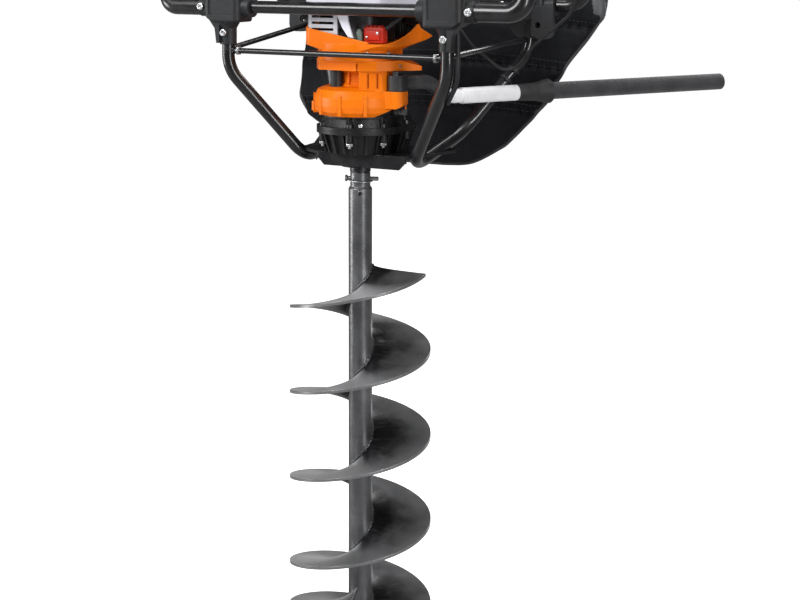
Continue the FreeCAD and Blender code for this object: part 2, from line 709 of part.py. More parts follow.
def clamp_screw(seat, into):
    """A button-head screw on a round boss, with a shank that stops at the tube."""
    head = rod(seat - into * 3.4, seat - into * 0.2, 5.4)
    crown = [e for e in head.Edges if e.Curve.TypeId == "Part::GeomCircle"
             and (e.Curve.Center - (seat - into * 3.4)).Length < 1e-6]
    head = head.makeFillet(1.6, crown)
    head = head.cut(rod(seat - into * 4, seat - into * 1.6, 2.4))
    return head.fuse(rod(seat - into * 1.2, seat + into * 2.8, 2.6))


def bracket_screws():
    made = []
    for y in (FRONT_Y, REAR_Y):
        for seat, into in clamp_screw_places(y):
            screw = clamp_screw(seat, into)
            made += [screw, mirrored(screw)]
    return group(made)


def brace_rods(rear_brackets):
    """The front rod between the front legs, and a rod along each side; their ends are welded to the legs."""
    rods = [rod(V(-LEG_X, FRONT_Y, ROD_Z), V(LEG_X, FRONT_Y, ROD_Z), ROD_R)]
    for name, side in (("right", 1), ("left", -1)):
        start = V(side * LEG_X, FRONT_Y, ROD_Z + 2)
        rods.append(rod(start, V(side * LEG_X, REAR_Y, SIDE_ROD_REAR_Z[name]), ROD_R))
    cleaned = []
    for piece in rods:
        for stop in frame_tube_solids() + rear_brackets:
            piece = piece.cut(stop)
        cleaned.append(max(piece.Solids, key=lambda solid: solid.Volume))
    return group(cleaned)


# ---- Handles ----------------------------------------------------------------------------------------
GRIP_Y = (-2.0, 128.0)


def along_y(radius, y0, y1, x=0.0, z=CRANK_Z):
    return rod(V(x, y0, z), V(x, y1, z), radius)


def left_grip():
    """A rubber sleeve with rings and an end flange on the left loop."""
    flange = along_y(21, GRIP_Y[0] - 5, GRIP_Y[0], -LOOP_X, LOOP_Z)
    body = along_y(15.5, *GRIP_Y, -LOOP_X, LOOP_Z).fuse(flange)
    for k in range(8):
        y = GRIP_Y[0] + 20 + 13 * k
        groove = along_y(17, y, y + 3, -LOOP_X, LOOP_Z).cut(along_y(14.4, y - 1, y + 4, -LOOP_X, LOOP_Z))
        body = body.cut(groove)
    return body.cut(along_y(FRAME_R, GRIP_Y[0] - 9, GRIP_Y[1] + 9, -LOOP_X, LOOP_Z))


TRIGGER_PIVOT = V(LOOP_X, 104, LOOP_Z - 15)
LOCKOUT_PIVOT = V(LOOP_X, 92, LOOP_Z + 17)
SWITCH_Y = (6.0, 20.0)
SWITCH_TRAVEL = 8.0
HANDLE_PIN_R = 2.0


def control_handle():
    """A moulded shell round the right loop, slotted below for the trigger and above for its lockout."""
    x, z = LOOP_X, LOOP_Z
    shell = rounded_box(x - 18, x + 18, -2, 128, z - 22, z + 24, 14, V(0, 1, 0))
    shell = shell.makeFillet(5, [e for e in shell.Edges if abs(e.BoundBox.YLength) < 1e-6])
    shell = shell.cut(along_y(FRAME_R, -20, 160, x, z))
    shell = shell.cut(box(x - 7, x + 7, 40, 114, z - 24, z - 4))
    shell = shell.cut(box(x - 6, x + 6, 36, 104, z + 4, z + 26))
    track = (SWITCH_Y[0] - 0.5, SWITCH_Y[1] + SWITCH_TRAVEL + 0.5)
    shell = shell.cut(box(x - 5, x + 5, *track, z + 18, z + 26))
    for pivot in (TRIGGER_PIVOT, LOCKOUT_PIVOT):
        shell = shell.cut(along_x(HANDLE_PIN_R, x - 12, x + 12, pivot.y, pivot.z))
    return shell


def handle_lever(side_view, half_width, pivot):
    """A lever with the given side view (Y, Z), with its hinge pin through it."""
    lever = profile_along(side_view, "X", LOOP_X - half_width, 2 * half_width)
    return lever.fuse(along_x(HANDLE_PIN_R - RUNNING, LOOP_X - 11.5, LOOP_X + 11.5, pivot.y, pivot.z))


def throttle_trigger():
    """A curved finger lever that hangs below the handle from a pin at its rear."""
    z = LOOP_Z
    side = [(108, z - 12), (104, z - 10.5), (60, z - 18), (50, z - 24), (45, z - 36), (50, z - 38),
            (60, z - 31), (78, z - 28), (98, z - 25), (108, z - 20)]
    return handle_lever(side, 6.0, TRIGGER_PIVOT)


def trigger_lockout():
    """The palm lever on top of the handle, which frees the trigger when it is pressed in."""
    z = LOOP_Z
    side = [(96, z + 13), (97, z + 21), (84, z + 29), (60, z + 31), (44, z + 28), (41, z + 20), (84, z + 14)]
    return handle_lever(side, 5.0, LOCKOUT_PIVOT)


def stop_switch():
    x, z = LOOP_X, LOOP_Z
    slider = box(x - 4.8, x + 4.8, *SWITCH_Y, z + 18.1, z + 25)
    for k in range(3):
        y = SWITCH_Y[0] + 2 + 4 * k
        slider = slider.fuse(box(x - 4, x + 4, y, y + 1.6, z + 25, z + 27))
    return slider


CABLE_R = 2.5


def throttle_cable():
    """The sheathed cable from the control handle down along the rear leg and in to the carburettor."""
    points = [
        V(LOOP_X, 129.8, LOOP_Z - 19), V(LOOP_X - 3, 142, LOOP_Z - 36), V(256, 150, 925), V(200, 152, 880),
        V(168, 140, 835), V(130, 96, 880), V(104, 72, 927), V(67, 66, 927),
    ]
    return sweep(bent_path(points, [10, 30, 30, 24, 30, 20]), CABLE_R)


# ---- Lower engine housing ---------------------------------------------------------------------------
def lathe(profile, x=0.0, y=0.0):
    """A solid of revolution about an upright axis, from (radius, z) points."""
    points = [V(r, 0, z) for r, z in profile]
    solid = Part.Face(Part.makePolygon(points + points[:1])).revolve(V(0, 0, 0), UP, 360)
    solid.translate(V(x, y, 0))
    return solid


LUG_TOP_Z = 822.0
WAIST_AT = (6.0, 4.0)
HEAT_TUBE_AT = (-19.0, -34.0)
HEAT_TUBE_R = 8.5


BELL_FOOT_R = 57.0
BELL_PROFILE = [(0, CASE_TOP_Z), (BELL_FOOT_R, CASE_TOP_Z), (63, 792), (65, 800), (65, 812), (60, LUG_TOP_Z),
                (50, 826), (0, 828)]
WAIST_PROFILE = [(0, 824), (42, 824), (36, 832), (36, 845), (40, NECK_JOINT_Z), (0, NECK_JOINT_Z)]


def bell():
    return lathe(BELL_PROFILE)


def bell_cavity():
    return lathe([(0, 785), (53, 785), (60, 796), (61, 811), (55, 819), (0, 822)])


def shoulder_room():
    """The low front right corner of the bell, which the black case fills instead."""
    return diagonal_prism([(19, 780), (19, CASE_TOP_Z), (66, 805), (76, 805), (76, 780)], -80, 80)


def waist_pad():
    """The flat-fronted pad on the waist, with two upright grooves."""
    pad = diagonal_prism([(-2, 820), (38, 820), (38, NECK_JOINT_Z), (-2, NECK_JOINT_Z)], -54, 46)
    for x in (9, 22):
        pad = pad.cut(diagonal_prism([(x, 826), (x + 3, 826), (x + 3, 846), (x, 846)], -56, 5))
    return pad.common(cylinder(62, 815, NECK_JOINT_Z))


def clutch_housing():
    """The bell round the clutch and the waist above it, with the lug that carries the brake lever."""
    body = bell()
    waist = lathe(WAIST_PROFILE, *WAIST_AT)
    for degrees in (-98, -70, -42, -14, 14):
        rib = turned(box(34, 39, -1.5, 1.5, 826, NECK_JOINT_Z), degrees)
        rib.translate(V(*WAIST_AT, 0))
        waist = waist.fuse(rib)
    body = body.fuse([waist, waist_pad(), rounded_box(-66, -34, -30, 22, 790, 803, 8)])
    lug = cylinder(14, 798, LUG_TOP_Z, LEVER_PIVOT.x, LEVER_PIVOT.y)
    body = body.fuse([lug, box(40, 70, -30, -4, 798, LUG_TOP_Z)])
    for degrees in range(-150, 170, 32):
        body = body.fuse(turned(box(46, 66.5, -2, 2, 788, 816), degrees))
    body = body.cut(bell_cavity()).cut(cylinder(26, 821, 851)).cut(shoulder_room())
    x, y = LEVER_PIVOT.x, LEVER_PIVOT.y
    body = body.cut(cylinder(HEAT_TUBE_R, 818.2, NECK_JOINT_Z, *HEAT_TUBE_AT))
    body = body.cut(cylinder(14.5, LUG_TOP_Z, 849, x, y))
    body = body.cut(cylinder(5.0 + RUNNING, 790, 830, x, y))
    return max(body.Solids, key=lambda solid: solid.Volume)


def heat_tube():
    """The upright dark tube that stands in the notch at the front left of the clutch housing."""
    tube = ring(HEAT_TUBE_R, HEAT_TUBE_R - 2.5, 818.2, 849.8, *HEAT_TUBE_AT)
    return tube.fuse(cylinder(HEAT_TUBE_R, 818.2, 822, *HEAT_TUBE_AT))


def brake_band():
    """A split steel band round the clutch drum, with ears for its anchor and its cam."""
    band = ring(DRUM_R + 2.0, DRUM_R + 0.6, 797, 809)
    start = DRUM_R + 1.0
    gap = turned(box(30, 60, -3, 3, 790, 815), -14)
    ears = [turned(box(start, start + 8, y, y + 2, 797, 809), -14) for y in (-5, 3)]
    return band.cut(gap).fuse(ears)


# ---- Engine -----------------------------------------------------------------------------------------
CRANK_R = 7.0
FAN_R = 46.0
FAN_CASE_R = 60.0
FLARE_R = 110.0
FLARE_Z = (878.0, 898.0)
BOWL_PEAK_Z = 921.0
SIDE_SWEEP_R = 95.0
FLANGE_TOP_Z = 864.0
FLANGE_OUTLINE = [(-40, -48), (22, -52), (50, -42), (94, 10), (62, 50), (24, 76), (-38, 76), (-62, 40),
                  (-60, -20)]


def over_flare(lift):
    """The room above the sloping underside of the bowl, with that underside lifted by the given amount."""
    foot, top = FLARE_Z[0] + lift, FLARE_Z[1] + lift
    slope = Part.makeCone(FAN_CASE_R, FLARE_R, top - foot, V(0, 0, foot))
    section = [(-44 + lift, foot), (22, foot), (50 - lift, top), (50 - lift, 922), (-44 + lift, 922)]
    rear = profile_along(section, "Y", 30, 88 - lift)
    return slope.fuse([cylinder(160, top, BOWL_PEAK_Z + 1), rear])


def bowl_rim_cuts():
    """What is taken off the bowl's edge: low along the front, up the right side to a peak, and down again."""
    top = BOWL_PEAK_Z + 20
    front = profile_along([(-70, 911.2), (60, 887.2), (60, top), (-70, top)], "Y", -60, 25)
    out = V(70, -32, 0).normalize()
    low_point = V(60, -49.5, 887.5 + SIDE_SWEEP_R)
    side = rod(low_point - out * 15, low_point + out * 60, SIDE_SWEEP_R)
    fall = [(7, BOWL_PEAK_Z), (16, 908), (60, 896), (130, 896), (130, top), (7, top)]
    rear_right = profile_along(fall, "X", 20, 100)
    rear_left = box(-120, 61, 40, 130, 911, top)
    left = box(-120, -59, -60, 130, 911, top)
    return [front, side, rear_right, rear_left, left]


def fan_housing():
    """The lower shroud: a pointed flange on the waist, the round fan case, and a flared bowl over it."""
    flange = rounded_prism(FLANGE_OUTLINE, NECK_JOINT_Z, FLANGE_TOP_Z, 3)
    flange = flange.cut(box(22.5, 25, -60, -46, NECK_JOINT_Z - 1, FLANGE_TOP_Z - 3))
    thinned = [(56, FLANGE_TOP_Z), (92, 854), (110, 850), (110, FLANGE_TOP_Z + 1), (56, FLANGE_TOP_Z + 1)]
    flange = flange.cut(diagonal_prism(thinned, -90, 180))
    bowl = rounded_prism(SHROUD_OUTLINE, FLARE_Z[0], BOWL_PEAK_Z, 12).common(over_flare(0))
    inside = rounded_prism(shrunk(SHROUD_OUTLINE, 3.0), 888, BOWL_PEAK_Z + 1, 9).common(over_flare(4))
    body = flange.fuse([cylinder(FAN_CASE_R, FLANGE_TOP_Z, 888), bowl]).cut(inside)
    body = body.cut(cylinder(FAN_R + 3, 866, 885)).cut(cylinder(26, 840, 870)).cut(cylinder(24, 884, 890))
    for piece in bowl_rim_cuts():
        body = body.cut(piece)
    for k in range(6):
        body = body.cut(box(-100, -50, -6 + 9 * k, -1 + 9 * k, 869, 881))
    return max(body.Solids, key=lambda solid: solid.Volume)


def flywheel():
    body = cylinder(20, 868, 882).fuse(cylinder(FAN_R, 868, 872))
    for k in range(16):
        body = body.fuse(turned(box(18, FAN_R - 1, -1, 1, 871, 881), 22.5 * k))
    return body.cut(cylinder(CRANK_R, 860, 890))


def crankshaft():
    """The shaft with its two round webs, the crankpin between them and the starter's notched cup on top."""
    webs = [cylinder(26, 908, 917), cylinder(26, 933, 942), cylinder(6, 916, 934, 0, 14.5)]
    ends = [cylinder(CRANK_R, 942, 970), cylinder(20, 966, 976)]
    body = cylinder(CRANK_R, 799, 908).fuse(webs + ends).cut(cylinder(16.5, 970, 977))
    for k in range(6):
        body = body.cut(turned(box(14, 22, -3, 3, 971, 977), 60 * k))
    return body


def clutch_shoes():
    """Two centrifugal shoes on their carrier, just clear of the drum."""
    arc = ring(35.6, 25.5, 797, 811)
    halves = [arc.common(box(-40, 40, 4, 40, 790, 820)), arc.common(box(-40, 40, -40, -4, 790, 820))]
    carrier = rounded_box(-12, 12, -25, 25, 799, 807, 4).cut(cylinder(CRANK_R, 790, 820))
    return group(halves + [carrier.common(cylinder(25.4, 790, 820))])


def crankcase():
    body = rounded_box(-36, 36, -34, 46, 888, CASE_TOP_OF_ENGINE_Z, 12)
    body = body.cut(cylinder(28, 904, 946)).cut(box(-BORE_R - 1, BORE_R + 1, 0, 60, 904, 946))
    return body.cut(cylinder(CRANK_R + RUNNING, 880, 970))


BORE_R = 20.0
CYLINDER_Y = (46.0, 112.0)
INTAKE_Y = 66.0


def cylinder_block():
    """The finned cylinder, lying on its side towards the operator."""
    body = along_y(26, *CYLINDER_Y)
    for k in range(8):
        fin = rounded_box(-36, 36, 52 + 7.6 * k, 54.4 + 7.6 * k, CRANK_Z - 33, CRANK_Z + 31, 8, V(0, 1, 0))
        body = body.fuse(fin)
    body = body.fuse(rounded_box(-30, 30, 46, 50, CRANK_Z - 21, CRANK_Z + 21, 4, V(0, 1, 0)))
    body = body.fuse([along_x(11, -44, -24, INTAKE_Y, CRANK_Z), along_x(11, 24, 44, INTAKE_Y, CRANK_Z)])
    body = body.cut(along_y(BORE_R + RUNNING, 40, 104))
    return body.cut(along_y(5.0, 100, 120))


def piston():
    body = along_y(BORE_R, 56, 88).cut(along_y(17, 55, 82))
    for y in (84.5, 81):
        body = body.cut(along_y(21, y, y + 1.2).cut(along_y(18.8, y - 1, y + 3)))
    return body.cut(along_x(5, -30, 30, 68, CRANK_Z))


def spark_plug():
    """The plug in the head, with its rubber boot and the stub of its lead."""
    plug = along_y(5.0, 105, 114).fuse(along_y(8, 112, 122))
    boot = along_y(10, 122, 142).fuse(cylinder(4.5, CRANK_Z, CRANK_Z + 18, 0, 136))
    return plug.fuse(boot)


def muffler():
    body = prism([(-44, 14), (-44, 84), (-84, 84), (-88, 62), (-88, 36), (-78, 14)], 902, 944)
    body = body.makeFillet(6, edges_along(body, UP))
    outlet = rod(V(-84, 50, 930), V(-106, 50, 930), 6).cut(rod(V(-92, 50, 930), V(-110, 50, 930), 4.2))
    return body.fuse(outlet)


def side_panel():
    """The grey louvred panel that closes the front left corner between the bowl and the top cover."""
    outer = rounded_prism(shrunk(SHROUD_OUTLINE, 3.0), 897, COVER_Z[0] + 4, 9)
    inner = rounded_prism(shrunk(SHROUD_OUTLINE, 5.5), 889, COVER_Z[0] + 5, 7)
    body = outer.cut(inner).common(box(-100, -8, -60, 12, 880, 950))
    for k in range(4):
        z = 905 + 9 * k
        body = body.cut(box(-50, -14, -60, -40, z, z + 3.6))
    return body.cut(rod(KNOB_FOOT, KNOB_FOOT + KNOB_AXIS * 12, 2.5))


KNOB_AXIS = V(-84, -38, 0).normalize()
KNOB_FOOT = V(-70, -10, 926)


def cover_knob():
    """The twist knob that holds the grey panel on: a lobed head on a short screw."""
    head_start = KNOB_FOOT + KNOB_AXIS * 9
    head = rod(head_start, head_start + KNOB_AXIS * 10, 9)
    for k in range(6):
        groove = rod(head_start - KNOB_AXIS + V(0, 0, 10.5), head_start + KNOB_AXIS * 11 + V(0, 0, 10.5), 3)
        groove.rotate(head_start, KNOB_AXIS, 60 * k)
        head = head.cut(groove)
    return head.fuse(rod(KNOB_FOOT + KNOB_AXIS * 1, head_start + KNOB_AXIS, 2.5 - RUNNING))


def top_cover():
    """The pale upper cover, with a strap that curves down the front to the bowl."""
    shell = rounded_prism(SHROUD_OUTLINE, *COVER_Z, 12)
    shell = shell.makeFillet(8, [e for e in shell.Edges if e.BoundBox.ZMin > COVER_Z[1] - 1e-3])
    shell = shell.cut(rounded_prism(shrunk(SHROUD_OUTLINE, 3.0), COVER_Z[0] - 1, COVER_Z[1] - 3, 9))
    strap = [(-8, 944), (8, 944), (11, 920), (19, 896.2), (11, 897.8), (2, 910), (-6, 926)]
    shell = shell.fuse(profile_along(strap, "Y", -54, 3.0))
    shell = shell.cut(along_y(12.3, -80, -40, GRIP_X, STARTER_GRIP_Z))
    return shell.cut(cylinder(STARTER_R + 0.5, 950, 1010))


STARTER_R = 58.0
GRIP_X = -26.0
STARTER_GRIP_Z = 986.0


def starter_housing():
    """The recoil starter's cap, with a guide for its rope at the front."""
    body = lathe([(0, CASE_TOP_OF_ENGINE_Z), (STARTER_R, CASE_TOP_OF_ENGINE_Z), (STARTER_R, 1002), (52, 1014),
                  (36, 1020), (0, 1020)])
    body = body.fuse(along_y(12, -72, -30, GRIP_X, STARTER_GRIP_Z))
    body = body.cut(lathe([(0, 963), (54, 963), (54, 1001), (50, 1011), (35, 1016), (0, 1016)]))
    body = body.cut(cylinder(12, 950, 970)).cut(along_y(6, -80, -20, GRIP_X, STARTER_GRIP_Z))
    for k in range(12):
        body = body.cut(turned(box(30, 46, -2, 2, 1000, 1024), 30 * k + 15))
    return body.fuse(cylinder(5.0, 988, 1017))


PULLEY_R = 26.0


def starter_pulley():
    """The grooved rope pulley on its post, above the starter cup."""
    rim = PULLEY_R + 4
    body = lathe([(0, 980), (rim, 980), (rim, 982), (PULLEY_R, 984), (PULLEY_R, 990), (rim, 992),
                  (rim, 994), (0, 994)])
    body = body.cut(cylinder(5.0 + RUNNING, 987.5, 1000))
    return body.cut(turned(box(12, 20, -4, 4, 978, 984), 0))


def starter_grip():
    """The pull handle with the first length of its rope."""
    x, z = GRIP_X, STARTER_GRIP_Z
    bar = rounded_box(x - 25, x + 25, -94, -78, z - 8, z + 8, 7, V(1, 0, 0))
    neck = Part.makeCone(8, 10, 5.5, V(x, -79, z), V(0, 1, 0))
    rope = along_y(1.8, -80, -34, x, z)
    return bar.fuse([neck, rope])


def carburettor():
    body = rounded_box(44, 66, 54, 78, 911, 937, 4, V(1, 0, 0))
    bowl = cylinder(9, 906, 912, 55, INTAKE_Y)
    throttle_wheel = cylinder(9, 937, 940.5, 55, 60)
    return body.fuse([bowl, throttle_wheel]).cut(along_x(5, 43, 70, INTAKE_Y, CRANK_Z - 5))


FILTER_X = (84.0, 128.0)
CHOKE_PIVOT = V(108, 8, 990)
PRIMER_X, PRIMER_Z, PRIMER_R = 108.0, 967.0, 8.0


def filter_cover():
    body = soft_box(*FILTER_X, 10, 96, 950, 1010, 10, 5)
    for k in range(6):
        body = body.cut(box(FILTER_X[1] - 2, FILTER_X[1] + 1, 26 + 10 * k, 31 + 10 * k, 962, 998))
    body = body.cut(rounded_prism(SHROUD_OUTLINE, *COVER_Z, 12)).cut(tank_block())
    body = body.cut(along_y(PRIMER_R + 0.6, 5, 22, PRIMER_X, PRIMER_Z))
    return body.cut(along_y(3.0, 8, 22, CHOKE_PIVOT.x, CHOKE_PIVOT.z))


def primer_bulb():
    """The soft bulb in the front of the filter box, which is pressed in to prime the carburettor."""
    bulb = along_y(PRIMER_R, 5, 15, PRIMER_X, PRIMER_Z)
    dome = Part.makeSphere(10.0, V(PRIMER_X, 9, PRIMER_Z))
    dome = dome.common(along_y(PRIMER_R, -3, 6, PRIMER_X, PRIMER_Z))
    return bulb.fuse(dome)


def choke_lever():
    """A small lever on the front of the filter box: along the box it is open, raised it is closed."""
    pivot = CHOKE_PIVOT
    boss = along_y(6, 3, 9.5, pivot.x, pivot.z)
    arm = box(pivot.x - 3, pivot.x + 26, 4, 7, pivot.z - 3, pivot.z + 3)
    tab = rounded_box(pivot.x + 18, pivot.x + 28, -4, 7, pivot.z - 4, pivot.z + 4, 2)
    return boss.fuse([arm, tab, along_y(3.0 - RUNNING, 9, 20, pivot.x, pivot.z)])


TANK_TOP_Z = 1060.0
CAP_AT = (44.0, 92.0)


def tank_block():
    return soft_box(-84, 80, 62, 122, COVER_Z[1], TANK_TOP_Z, 16, 8)


def fuel_tank():
    """The tank on the rear of the top cover, with a threaded neck."""
    body = tank_block().fuse(cylinder(14, TANK_TOP_Z - 1, TANK_TOP_Z + 8, *CAP_AT))
    hollow = soft_box(-81, 77, 65, 119, COVER_Z[1] + 3, TANK_TOP_Z - 3, 13, 5)
    return body.cut(hollow).cut(cylinder(11, TANK_TOP_Z - 8, TANK_TOP_Z + 9, *CAP_AT))


def fuel_cap():
    cap = cylinder(19, TANK_TOP_Z + 1, TANK_TOP_Z + 15, *CAP_AT)
    cap = cap.cut(cylinder(14 + RUNNING, TANK_TOP_Z, TANK_TOP_Z + 9, *CAP_AT))
    for k in range(16):
        spot = polar(20.4, 22.5 * k)
        cap = cap.cut(cylinder(2.2, TANK_TOP_Z, TANK_TOP_Z + 16, CAP_AT[0] + spot.x, CAP_AT[1] + spot.y))
    x, y = CAP_AT
    return cap.fuse(rounded_box(x - 16, x + 16, y - 3, y + 3, TANK_TOP_Z + 14, TANK_TOP_Z + 20, 2.5))


# ---- Brake lever ------------------------------------------------------------------------------------
EYE_Z = (LUG_TOP_Z + 0.5, 844.0)
ARM_Z = 834.0
BOOT_T = (108.0, 165.0)
LEVER_SLEEVE_R = 11.4


def lever_point(distance, z=None):
    """A point along the lever, measured from the start of its straight part."""
    point = LEVER_START + LEVER_DIR * distance
    return V(point.x, point.y, LEVER_START.z if z is None else z)


def lever_tube():
    """The cranked tube of the lever, with the eye that is fixed on its pivot shaft."""
    points = [lever_point(-84, ARM_Z), lever_point(-44, ARM_Z), lever_point(-8), lever_point(LEVER_END - 2)]
    body = bent_tube(points, [30, 30], LEVER_TUBE_R, LEVER_TUBE_R - 1.6)
    eye = cylinder(14, *EYE_Z, LEVER_PIVOT.x, LEVER_PIVOT.y)
    sleeve = rod(lever_point(12), lever_point(BOOT_T[0]), LEVER_SLEEVE_R)
    sleeve = sleeve.cut(rod(lever_point(11), lever_point(BOOT_T[0] + 1), LEVER_TUBE_R - 0.5))
    return body.fuse([eye, sleeve]).cut(cylinder(5.0, 800, 860, LEVER_PIVOT.x, LEVER_PIVOT.y))


def lever_pivot():
    """The pivot shaft, with the cam plate that slackens or draws the band on its lower end."""
    x, y = LEVER_PIVOT.x, LEVER_PIVOT.y
    shaft = cylinder(5.0, 791, 845, x, y)
    cam = cylinder(6.5, 790, 797.5, x, y).fuse(rounded_box(x - 2, x + 20, y - 5, y + 5, 790, 797.5, 4))
    return shaft.fuse([cam, hexagon(8, x, y, EYE_Z[1], EYE_Z[1] + 5)])


def lever_grip():
    start, end = lever_point(BOOT_T[1] + 1), lever_point(LEVER_END)
    body = rod(start, end, LEVER_GRIP_R)
    return body.cut(rod(lever_point(BOOT_T[1]), lever_point(LEVER_END - 2), LEVER_TUBE_R))


def lever_boot():
    """The flared rubber collar in front of the grip."""
    start, end = lever_point(BOOT_T[0]), lever_point(BOOT_T[1])
    flare = lever_point(BOOT_T[1] - 24)
    body = Part.makeCone(12.0, 13.5, (flare - start).Length, start, LEVER_DIR)
    body = body.fuse(Part.makeCone(13.5, 18.0, 24, flare, LEVER_DIR))
    return body.cut(rod(start - LEVER_DIR, end + LEVER_DIR, LEVER_TUBE_R))


# ---- Hip cushion ------------------------------------------------------------------------------------
CUSHION_OUTLINE = [
    (50, 691), (74, 694), (110, 710), (140, 731), (153, 745), (168, 762), (185, 779), (199, 800), (207, 818),
    (219, 852), (240, 884), (258, 907), (262, 925), (262, 985), (236, 1006), (-236, 1006), (-262, 985),
    (-262, 912), (-247, 878), (-238, 809), (-233, 780), (-214, 752), (-166, 725), (-115, 705), (-50, 691),
]
CUSHION_FACE = [(185, 684), (190, 735), (197, 762), (208, 809), (238, 878), (256, 912), (280, 1010)]
CUSHION_THICK = 34.0


def hip_cushion():
    """The padded hip rest: a thick sheet that leans back as it rises, grooved at the right for the lever."""
    far = [(y + CUSHION_THICK, z) for y, z in reversed(CUSHION_FACE)]
    sheet = profile_along(CUSHION_FACE + far, "X", -300, 600)
    outline = profile_along(CUSHION_OUTLINE, "Y", 150, 200)
    body = sheet.common(outline).cut(rod(lever_point(60), lever_point(BOOT_T[1] + 7), 24))
    return body.cut(rod(lever_point(60), lever_point(280), 19.5))


def cushion_arms():
    """Two flat steel arms that reach back from the rear corner blocks to the cushion, stopping just short."""
    arm = box(LEG_X - 14, LEG_X + 14, REAR_Y + BRACKET_D / 2, 262, 948, 952)
    return [arm, mirrored(arm)]


# ---- Nodes ------------------------------------------------------------------------------------------
def build():
    front_blocks, rear_blocks = ([block, mirrored(block)] for block in (bracket(FRONT_Y), bracket(REAR_Y)))
    leg, loop = right_frame_tube(), right_handle_tube()
    return {
        "auger_tube": auger_tube(),
        "main_flight": main_flight(),
        "second_flight": second_flight(),
        "ice_blades": group([ice_blade(MAIN_FOOT_DEG), ice_blade(SECOND_FOOT_DEG)]),
        "blade_screws": group(blade_screw_set(MAIN_FOOT_DEG) + blade_screw_set(SECOND_FOOT_DEG)),
        "centre_point": centre_point(),
        "drive_pin": group([drive_pin(), pin_ring()]),
        "output_spindle": output_spindle(),
        "output_gear": output_gear(),
        "intermediate_shaft": intermediate_shaft(),
        "intermediate_pinion": intermediate_pinion(),
        "intermediate_gear": intermediate_gear(),
        "first_pinion": first_pinion(),
        "clutch_drum": clutch_drum(),
        "gearbox_housing": gearbox_housing(),
        "gearbox_cover": gearbox_cover(),
        "gearbox_fasteners": group(gearbox_screws() + base_bolts()),
        "gearbox_bearings": gearbox_bearings(),
        "base_plate": base_plate(),
        "frame_tubes": group([leg, mirrored(leg)]),
        "cross_tubes": group([cross_tube(FRONT_Y), cross_tube(REAR_Y)] + cushion_arms()),
        "corner_brackets": group(front_blocks + rear_blocks),
        "bracket_screws": bracket_screws(),
        "brace_rods": brace_rods(rear_blocks),
        "handle_tubes": group([loop, mirrored(loop)]),
        "left_grip": left_grip(),
        "control_handle": control_handle(),
        "throttle_trigger": throttle_trigger(),
        "trigger_lockout": trigger_lockout(),
        "stop_switch": stop_switch(),
        "throttle_cable": throttle_cable(),
        "clutch_housing": clutch_housing(),
        "heat_tube": heat_tube(),
        "brake_band": brake_band(),
        "fan_housing": fan_housing(),
        "primer_bulb": primer_bulb(),
        "flywheel": flywheel(),
        "crankshaft": crankshaft(),
        "clutch_shoes": clutch_shoes(),
        "crankcase": crankcase(),
        "cylinder": cylinder_block(),
        "piston": piston(),
        "spark_plug": spark_plug(),
        "muffler": muffler(),
        "side_panel": side_panel(),
        "cover_knob": cover_knob(),
        "top_cover": top_cover(),
        "starter_housing": starter_housing(),
        "starter_pulley": starter_pulley(),
        "starter_grip": starter_grip(),
        "carburettor": carburettor(),
        "filter_cover": filter_cover(),
        "choke_lever": choke_lever(),
        "fuel_tank": fuel_tank(),
        "fuel_cap": fuel_cap(),
        "lever_tube": lever_tube(),
        "lever_pivot": lever_pivot(),
        "lever_grip": lever_grip(),
        "lever_boot": lever_boot(),
        "hip_cushion": hip_cushion(),
    }


os.makedirs("parts", exist_ok=True)
for node, shape in build().items():
    shape.exportStep("parts/" + node + ".step")
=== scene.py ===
"""Looks of the ice auger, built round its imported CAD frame.

Metres, the CAD's axes: +Z up along the auger, -Y the front, +X the side of the brake lever.
CAD nodes whose shape is right keep their mesh and get a material; the rest are replaced by finer pieces.
"""
import json
import math

import bmesh
import bpy
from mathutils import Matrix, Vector, noise
from mathutils.bvhtree import BVHTree


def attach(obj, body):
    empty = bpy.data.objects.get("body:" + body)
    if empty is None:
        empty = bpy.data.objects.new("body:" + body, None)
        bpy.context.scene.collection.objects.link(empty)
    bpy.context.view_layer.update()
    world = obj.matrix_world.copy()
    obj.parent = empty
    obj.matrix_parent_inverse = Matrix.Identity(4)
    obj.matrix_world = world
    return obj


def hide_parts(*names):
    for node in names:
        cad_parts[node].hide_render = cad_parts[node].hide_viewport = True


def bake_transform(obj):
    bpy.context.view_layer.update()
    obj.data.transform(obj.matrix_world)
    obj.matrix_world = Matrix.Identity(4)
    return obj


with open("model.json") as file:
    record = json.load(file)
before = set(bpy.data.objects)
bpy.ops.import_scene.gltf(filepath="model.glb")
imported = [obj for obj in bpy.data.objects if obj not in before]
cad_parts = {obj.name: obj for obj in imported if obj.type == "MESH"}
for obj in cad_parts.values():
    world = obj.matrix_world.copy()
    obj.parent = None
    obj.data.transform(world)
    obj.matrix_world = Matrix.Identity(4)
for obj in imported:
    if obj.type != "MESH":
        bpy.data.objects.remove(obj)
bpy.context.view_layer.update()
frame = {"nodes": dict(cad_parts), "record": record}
NODES = frame["nodes"]

ROOT = "power_head"
MM = 0.001


# ---- Materials --------------------------------------------------------------------------------------
EDGE_COSINES = (0.995, 0.80)


